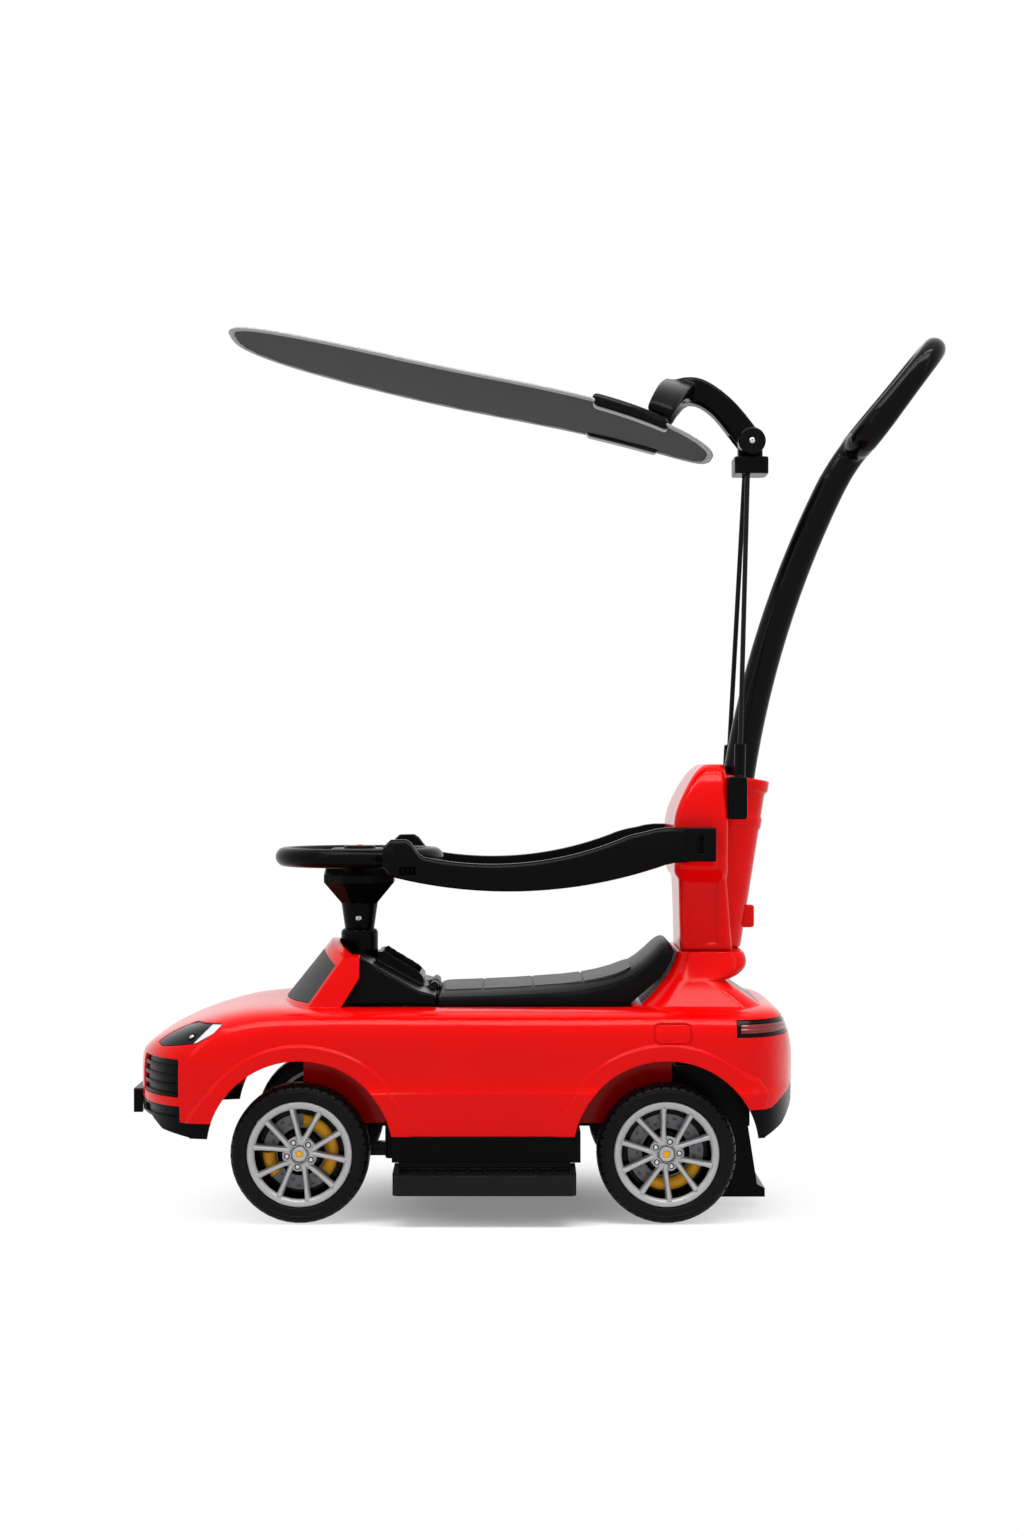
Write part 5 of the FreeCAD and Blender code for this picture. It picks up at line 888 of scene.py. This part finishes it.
def bow(a, b, c):
    """The arc through three points, as a function of x."""
    d = 2 * (a[0] * (b[1] - c[1]) + b[0] * (c[1] - a[1]) + c[0] * (a[1] - b[1]))
    sa, sb, sc = (q[0] * q[0] + q[1] * q[1] for q in (a, b, c))
    cx = (sa * (b[1] - c[1]) + sb * (c[1] - a[1]) + sc * (a[1] - b[1])) / d
    cy = (sa * (c[0] - b[0]) + sb * (a[0] - c[0]) + sc * (b[0] - a[0])) / d
    radius = math.hypot(a[0] - cx, a[1] - cy)
    side = 1 if b[1] > cy else -1
    return lambda x: cy + side * math.sqrt(radius * radius - (x - cx) ** 2)


def ease(t):
    """From 0 to 1 with a soft start and a soft end."""
    t = min(1.0, max(0.0, t))
    return t * t * (3 - 2 * t)


ARM_OUT = bow((ARM_FRONT, 114), (0, 139), (OUT_END, 107))
ARM_LOW = bow((ARM_FRONT, 348), (-28, 332), (LOW_END, 360))
ARM_TOP = bow((CREST_FIRST, 367), (-20, 361), (CREST_LAST, 390))


def arm_slice(x):
    """Section of the arm: its top rises to the front block and to the plate, and the nose is rounded."""
    out = ARM_OUT(min(x, OUT_END))
    low = ARM_LOW(min(x, LOW_END))
    top = ARM_TOP(max(CREST_FIRST, min(x, CREST_LAST)))
    if x < 0:
        top += (FRONT_TOP - top) * ease((-121 - x) / 18)
    else:
        top += 6 * ease((x - CREST_LAST) / 34)
    nose = 7 * (1 - ease((x - ARM_FRONT) / 9))
    low += nose
    top -= nose
    inner = out - ARM_DEPTH
    return slice_at(x, [
        (inner, low + 2.5), (inner + 2, low + 0.6), (out - 4, low), (out - 1.4, low + 1.2), (out, low + 4),
        (out, top - 6), (out - 1.2, top - 3.2), (out - 3.6, top - 1.9), (out - 6.2, top - 1.7),
        (out - 6.8, top - 0.2), (inner + 5, top), (inner + 2, top - 0.7), (inner, top - 3)])


def carve(obj, cutter):
    """Cut one closed piece out of another; the cutter is used up."""
    modifier(obj, "BOOLEAN", operation="DIFFERENCE", object=cutter)
    bpy.data.objects.remove(cutter)


ARM_STATIONS = [ARM_FRONT, -161.5, -159, -155, -150, -144, -139, -134, -129, -125, -121, -114]
ARM_STATIONS += list(range(-104, 147, 10)) + [150]
arm = drawn_out("guard_arm", [arm_slice(x) for x in ARM_STATIONS])
carve(arm, block("snap_window", (-146, 112, 347.5), (-128, 150, 356.5)))
smooth(arm, 32)
bars = [block("snap_bar", (x, 110, 349), (x + 3.2, 116.4, 355), 0.6) for x in (-144, -139, -134)]
plate = block("arm_plate", (144, 89.2, 361.2), (178, 108.2, 395.8), 1.6, 3)
carve(plate, block("plate_slot", (159.8, 100, 369), (164.2, 112, 387.5)))
carve(plate, block("plate_step", (140, 106.9, 364.5), (148.5, 112, 386)))
smooth(plate, 30)
arm = join([arm, plate] + bars, "guard_arm_right_detail")
paint(arm, BLACK)
hand_over(copy_piece(arm, "guard_arm_left_detail", MIRROR), "chassis", "black_plastic", "guard_arm_left")
hand_over(arm, "chassis", "black_plastic", "guard_arm_right")
print("arm faces", len(arm.data.polygons))

# %% [markdown]
# Small parts finish the steering: a cross-head screw that clamps the column, and a red dot on the horn button. A
# screw head is a turned dome with two crossed slots cut out of it; it is made once and copied to the canopy's knob.

# %% Screw heads and horn dot
COLUMN_X = -0.193
COLUMN_SCREW = (COLUMN_X, -0.0165, 0.298)
SCREW_SUNK_IN = 0.0003
DOT_SUNK_IN = 0.0004
screw_head = turned_piece("screw_head", [
    (0.0, 0.0), (3.2, 0.0), (3.2, 0.6), (2.6, 1.3), (1.4, 1.75), (0.0, 1.9)], 28, closed=False)
carve(screw_head, block("slot_a", (-1.9, -2.4, -0.35), (1.9, -1.0, 0.35)))
carve(screw_head, block("slot_b", (-0.35, -2.4, -1.9), (0.35, -1.0, 1.9)))
smooth(screw_head, 40)
paint(screw_head, STEEL)
low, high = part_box("canopy_knob")
KNOB_SCREW = ((low[0] + high[0]) / 2, low[1] + SCREW_SUNK_IN, (low[2] + high[2]) / 2)
hand_over(copy_piece(screw_head, "column_screw", Matrix.Translation(COLUMN_SCREW)), "steering", "steel")
hand_over(copy_piece(screw_head, "knob_screw", Matrix.Translation(KNOB_SCREW)), "canopy", "steel")
bpy.data.objects.remove(screw_head)
horn_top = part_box("horn_button")[1][2]
horn_dot = turned_piece("horn_dot", [
    (0.0, 0.0), (4.2, 0.0), (4.2, 0.5), (3.4, 0.9), (1.8, 1.1), (0.0, 1.2)], 32, closed=False)
horn_dot.data.transform(Matrix.Translation((COLUMN_X, 0, horn_top - DOT_SUNK_IN))
                        @ Matrix.Rotation(-math.pi / 2, 4, "X"))
smooth(horn_dot, 40)
paint(horn_dot, RED)
hand_over(horn_dot, "horn", "red_plastic")
print("horn top", round(horn_top, 4))

# %% [markdown]
# Behind the front wheels the black underbody closes the gap up to the sill. It is a plain moulded corner, so a
# rounded block on one side and its mirror image on the other are enough.

# %% Sill ends
SILL_END_LOW, SILL_END_HIGH = (-160, -124, 60), (-147, -70, 108)
sill_end = block("sill_end_left", SILL_END_LOW, SILL_END_HIGH, 3.0, 3)
smooth(sill_end, 40)
paint(sill_end, BLACK)
for obj in (sill_end, copy_piece(sill_end, "sill_end_right", MIRROR)):
    hand_over(obj, "chassis", "black_plastic")
print("sill ends from", SILL_END_LOW, "to", SILL_END_HIGH)

# %% [markdown]
# Blow-moulded parts have no sharp edge or corner anywhere. Bevels would have to be fitted at every joint, so the CAD
# part's mesh is copied, its seams are closed, and it is meshed anew in small cubes and smoothed, which rounds it
# evenly.

# %% Soft mouldings
def merged(node, name):
    """A copy of a CAD part's mesh with its seams closed."""
    obj = bpy.data.objects.new(name, nodes[node].data.copy())
    bpy.context.scene.collection.objects.link(obj)
    edit(obj, "VERT")
    bpy.ops.mesh.select_all(action="SELECT")
    bpy.ops.mesh.remove_doubles(threshold=MERGE)
    leave()
    return obj


def softened(node, name, voxel, rounds):
    """The same part meshed anew and smoothed, so that its edges and joints run softly."""
    obj = merged(node, name)
    modifier(obj, "REMESH", mode="VOXEL", voxel_size=voxel)
    modifier(obj, "SMOOTH", factor=0.5, iterations=rounds)
    smooth(obj, 180)
    return obj


handle = softened("push_handle", "push_handle_detail", 0.0021, 6)
print("handle faces", len(handle.data.polygons))

# %% [markdown]
# The push handle is a bent tube that runs out into a flat loop. On the toy the two flow into each other, so the tube
# is drawn thinner towards the loop, round its own two bends, and the place where they meet is smoothed once more.

# %% Push handle
TUBE_ENTRY = (0.210, 0.448)
TUBE_BENDS = ((1.075, 9.0, 26.0), (0.250, 26.0, 38.0))
TUBE_LENGTH = sum(radius * math.radians(last - first) for radius, first, last in TUBE_BENDS)
TUBE_R, GRIP_R = 0.0170, 0.0152
TUBE_REACH, TUBE_HALF, TUBE_TAIL = 0.02, 0.0185, 0.0125
LOOP_BASE = Vector((0.33326, 0.0, 0.79540))
LOOP_LEAN = math.radians(38)
LOOP_EDGE, LEG_SIDE = 0.0126, 0.018
LEG_GAIN, LEG_FADE = 0.2, 0.11
BLEND_FROM_Z, BLEND_REACH = 0.76, 0.045


def bend_centres():
    """Each bend of the tube: its centre, its radius, its angles and the length of tube before it."""
    x, z = TUBE_ENTRY
    before = 0.0
    for radius, first, last in TUBE_BENDS:
        a, b = math.radians(first), math.radians(last)
        yield x + radius * math.cos(a), z - radius * math.sin(a), radius, a, b, before
        x += radius * (math.cos(a) - math.cos(b))
        z += radius * (math.sin(b) - math.sin(a))
        before += radius * (b - a)


for cx, cz, radius, first, last, before in bend_centres():
    tail = TUBE_TAIL / radius if before else 0.0
    for v in handle.data.vertices:
        angle = math.atan2(v.co.z - cz, cx - v.co.x)
        reach = math.hypot(v.co.x - cx, v.co.z - cz)
        if not (first < angle <= last + tail and abs(reach - radius) < TUBE_REACH and abs(v.co.y) < TUBE_HALF):
            continue
        done = min(1.0, (before + radius * (angle - first)) / TUBE_LENGTH)
        thin = 1 - (1 - GRIP_R / TUBE_R) * done
        if math.hypot(reach - radius, v.co.y) > GRIP_R:
            reach = radius + (reach - radius) * thin
            v.co = (cx - reach * math.cos(angle), v.co.y * thin, cz + reach * math.sin(angle))
loop_along = Vector((math.sin(LOOP_LEAN), 0, math.cos(LOOP_LEAN)))
loop_across = Vector((math.cos(LOOP_LEAN), 0, -math.sin(LOOP_LEAN)))
meeting = handle.vertex_groups.new(name="blend")
for v in handle.data.vertices:
    offset = v.co - LOOP_BASE
    u = offset.dot(loop_along)
    if u > -LOOP_EDGE and (abs(v.co.y) > LEG_SIDE or u > LOOP_EDGE):
        v.co += loop_across * offset.dot(loop_across) * LEG_GAIN * (1 - ease(u / LEG_FADE))
    if v.co.z > BLEND_FROM_Z and offset.length < BLEND_REACH:
        meeting.add([v.index], 1.0, "REPLACE")
modifier(handle, "SMOOTH", factor=0.5, iterations=22, vertex_group="blend")
paint(handle, GLOSS_BLACK)
hand_over(handle, "chassis", "black_plastic", "push_handle")
print("tube length", round(TUBE_LENGTH, 3))

# %% [markdown]
# The backrest has a shallow panel moulded into each side of its narrow neck. It is meshed anew like the handle, and
# the points inside the panel's outline, on both faces of the wall, are pushed in.

# %% Backrest
PANEL_X = (0.1500, 0.1835)
PANEL_Z = (0.2735, 0.3410)
PANEL_DEPTH = 0.0022
PANEL_EDGE = 0.0022
NECK_INSIDE = 0.050
back = softened("backrest", "backrest_detail", 0.0017, 3)
for v in back.data.vertices:
    x, y, z = v.co
    if not (PANEL_X[0] < x < PANEL_X[1] and PANEL_Z[0] < z < PANEL_Z[1] and abs(y) > NECK_INSIDE):
        continue
    margin = min(x - PANEL_X[0], PANEL_X[1] - x, z - PANEL_Z[0], PANEL_Z[1] - z)
    v.co.y -= math.copysign(PANEL_DEPTH * ease(margin / PANEL_EDGE), y)
paint(back, RED)
hand_over(back, "chassis", "red_plastic", "backrest")
print("backrest faces", len(back.data.polygons))

# %% [markdown]
# Console, column sleeve, canopy arm and block, rod clamps and release button are soft all round as well, so they go
# through the same steps. The smaller a part is, the finer is its mesh, so that it keeps its form.

# %% Small mouldings
for node, body, voxel, rounds, mat in (
        ("canopy_arm", "canopy", 0.0016, 30, BLACK), ("rod_clamps", "chassis", 0.0009, 8, BLACK),
        ("canopy_block", "chassis", 0.0012, 6, BLACK), ("dash_console", "chassis", 0.0020, 6, BLACK),
        ("column_sleeve", "chassis", 0.0012, 6, BLACK), ("release_button", "release", 0.0008, 8, RED)):
    soft_part = softened(node, node + "_detail", voxel, rounds)
    paint(soft_part, mat)
    hand_over(soft_part, body, SLOTS[node], node)
    print(node, len(soft_part.data.polygons))

# %% [markdown]
# Each headlight shows a small round projector with a bright eye. It is a turned dome that stands on the glass; a ray
# finds the spot and the slope of the glass there.

# %% Headlight projectors
PROJECTOR_X, PROJECTOR_Z = -0.3535, 0.1868
RAY_FROM_Y = -0.3
hit, spot, normal, _ = nodes["headlight_lenses"].ray_cast(
    Vector((PROJECTOR_X, RAY_FROM_Y, PROJECTOR_Z)), Vector((0, 1, 0)))
ring = turned_piece("projector_ring", [
    (2.6, -1.0), (5.4, -1.0), (5.4, 0.3), (4.8, 0.7), (3.4, 0.7), (2.6, 0.2)], 32)
eye = turned_piece("projector_eye", [
    (0.0, -1.0), (2.5, -1.0), (2.5, 0.2), (1.8, 0.8), (0.0, 1.1)], 24, closed=False)
paint(ring, GLOSS_BLACK)
paint(eye, STEEL)
projector = join([ring, eye], "projector_left")
smooth(projector, 40)
facing = Vector((0, -1, 0)).rotation_difference(normal).to_matrix().to_4x4()
projector.data.transform(Matrix.Translation(spot) @ facing)
hand_over(copy_piece(projector, "projector_right", MIRROR), "chassis", "clear_lens")
hand_over(projector, "chassis", "clear_lens")
print("projectors on glass", hit)

# %% [markdown]
# Two small springs sit behind the buttons. Their wire is copied from the CAD part, and each one is given a mesh of
# its own.

# %% Springs
for node, body, joint, axis, travel in (("horn_spring", "steering", "horn_press", 2, 0.003),
                                        ("release_spring", "chassis", "release_press", 0, 0.004)):
    low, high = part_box(node)
    wire = merged(node, node + "_detail")
    smooth(wire, 60)
    paint(wire, STEEL)
    hand_over(wire, body, SLOTS[node], node)
    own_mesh(wire)
    print(node, "length", round(high[axis] - low[axis], 4))

# %% [markdown]
# The canopy is one stretched sheet of cloth with its edge bound in tape. A grid is pressed into the oval of its
# frame, bent along the frame's own curve and left to sag a little; the curve is read from the CAD panel below it.

# %% Canopy cloth
EDGE_INSET = 0.0042
CREST_STEPS, CREST_MARGIN = 60, 0.006
CLOTH_DROP, CLOTH_SAG, CLOTH_THICK = 0.0016, 0.0045, 0.0009
PUCKERS, PUCKER_HEIGHT, PUCKER_FROM = 38, 0.0005, 0.75
low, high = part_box("canopy_rim")
OVAL_MID = (low[0] + high[0]) / 2
OVAL_X = (high[0] - low[0]) / 2 - EDGE_INSET
OVAL_Y = high[1] - EDGE_INSET
crest_points = []
for index in range(CREST_STEPS + 1):
    x = OVAL_MID - OVAL_X + CREST_MARGIN + (2 * OVAL_X - 2 * CREST_MARGIN) * index / CREST_STEPS
    hit, spot, _, _ = nodes["canopy_fabric"].ray_cast(Vector((x, 0, 2)), Vector((0, 0, -1)))
    if hit:
        crest_points.append((x, spot.z))


def crest(x):
    """Height of the canopy's upper face, carried straight on past the last measured points."""
    rows = crest_points
    index = 0
    while index < len(rows) - 2 and rows[index + 1][0] < x:
        index += 1
    (x0, z0), (x1, z1) = rows[index], rows[index + 1]
    return z0 + (z1 - z0) * (x - x0) / (x1 - x0)


bpy.ops.object.select_all(action="DESELECT")
bpy.ops.mesh.primitive_grid_add(x_subdivisions=72, y_subdivisions=44, size=2)
cloth = bpy.context.object
cloth.name = "canopy_cloth"
for v in cloth.data.vertices:
    u, w = v.co.x, v.co.y
    cx = u * math.sqrt(1 - w * w / 2)
    cy = w * math.sqrt(1 - u * u / 2)
    round_r = math.hypot(cx, cy)
    oval_r = (abs(cx) ** 3 + abs(cy) ** 3) ** (1 / 3)
    stretch = round_r / oval_r if oval_r > 0 else 1.0
    x = OVAL_MID + OVAL_X * cx * stretch
    y = OVAL_Y * cy * stretch
    pucker = PUCKER_HEIGHT * math.sin(PUCKERS * math.atan2(cy, cx))
    pucker *= max(0.0, round_r - PUCKER_FROM) / (1 - PUCKER_FROM)
    v.co = (x, y, crest(x) - CLOTH_DROP - CLOTH_SAG * (1 - min(1.0, round_r) ** 2) + pucker)
length = sum(math.hypot(b[0] - a[0], b[1] - a[1]) for a, b in zip(crest_points, crest_points[1:]))
length += 2 * CREST_MARGIN
smooth(cloth, 180)
modifier(cloth, "SOLIDIFY", thickness=CLOTH_THICK, offset=0)

# %% [markdown]
# A tape is folded round the edge of the cloth. It could be extruded along the edge, but it follows the same oval all
# round, so it is a closed curve with a round bevel; once it is a mesh, it is pressed flatter, as a folded tape is.

# %% Canopy binding
TAPE_POINTS = 96
TAPE_OUT, TAPE_R, TAPE_FLAT = 0.0004, 0.0034, 0.62
bpy.ops.object.select_all(action="DESELECT")
bpy.ops.curve.primitive_nurbs_circle_add(radius=1)
tape_curve = bpy.context.object
tape_curve.data.splines.clear()
line = tape_curve.data.splines.new("NURBS")
line.points.add(TAPE_POINTS - 1)
for index in range(TAPE_POINTS):
    a = 2 * math.pi * index / TAPE_POINTS
    ca, sa = math.cos(a), math.sin(a)
    grow = 1 / (abs(ca) ** 3 + abs(sa) ** 3) ** (1 / 3)
    x = OVAL_MID + (OVAL_X + TAPE_OUT) * ca * grow
    line.points[index].co = (x, (OVAL_Y + TAPE_OUT) * sa * grow, crest(x) - CLOTH_DROP, 1)
line.use_cyclic_u = True
line.order_u = 3
tape_curve.data.bevel_depth = TAPE_R
tape_curve.data.bevel_resolution = 3
tape_curve.data.resolution_u = 3
start(tape_curve)
bpy.ops.object.convert(target="MESH")
binding = bpy.context.object
binding.name = "canopy_binding"
for v in binding.data.vertices:
    middle = crest(v.co.x) - CLOTH_DROP
    v.co.z = middle + (v.co.z - middle) * TAPE_FLAT
print("binding faces", len(binding.data.polygons))

# %% [markdown]
# Two oval spring clips hold the canopy's edges. A clip is a rounded block, measured from the edge of the cloth and
# then bent along the canopy's oval and its slope; the other one is its mirror image.

# %% Canopy clips
CLIP_LOW = (50.0, -27.0, -7.5)
CLIP_HIGH = (130.0, 5.0, 6.5)


def oval_half(x):
    """Half width of the cloth's oval at x."""
    return OVAL_Y * (1 - abs((x - OVAL_MID) / OVAL_X) ** 3) ** (1 / 3)


clip = block("canopy_clip", CLIP_LOW, CLIP_HIGH, 6.8, 6)
modifier(clip, "SUBSURF", levels=2)
for v in clip.data.vertices:
    v.co = (v.co.x, oval_half(v.co.x) + v.co.y, v.co.z + crest(v.co.x))
smooth(clip, 60)
paint(clip, GLOSS_BLACK)
clips = join([copy_piece(clip, "canopy_clip", MIRROR), clip], "canopy_clips_detail")
hand_over(clips, "canopy", "black_plastic", "canopy_clips")
print("clip faces", len(clips.data.polygons))

# %% [markdown]
# Cloth and binding are finished last. The size that the cloth was cut to, before it was stretched on its frame, is
# printed.

# %% Canopy as a sheet
paint(cloth, CLOTH)
paint(binding, BINDING)
smooth(binding, 60)
hand_over(cloth, "canopy", "canopy_cloth", "canopy_fabric")
hand_over(binding, "canopy", "canopy_binding", "canopy_rim")
print("sheet", round(2 * OVAL_Y, 4), "x", round(length, 4))
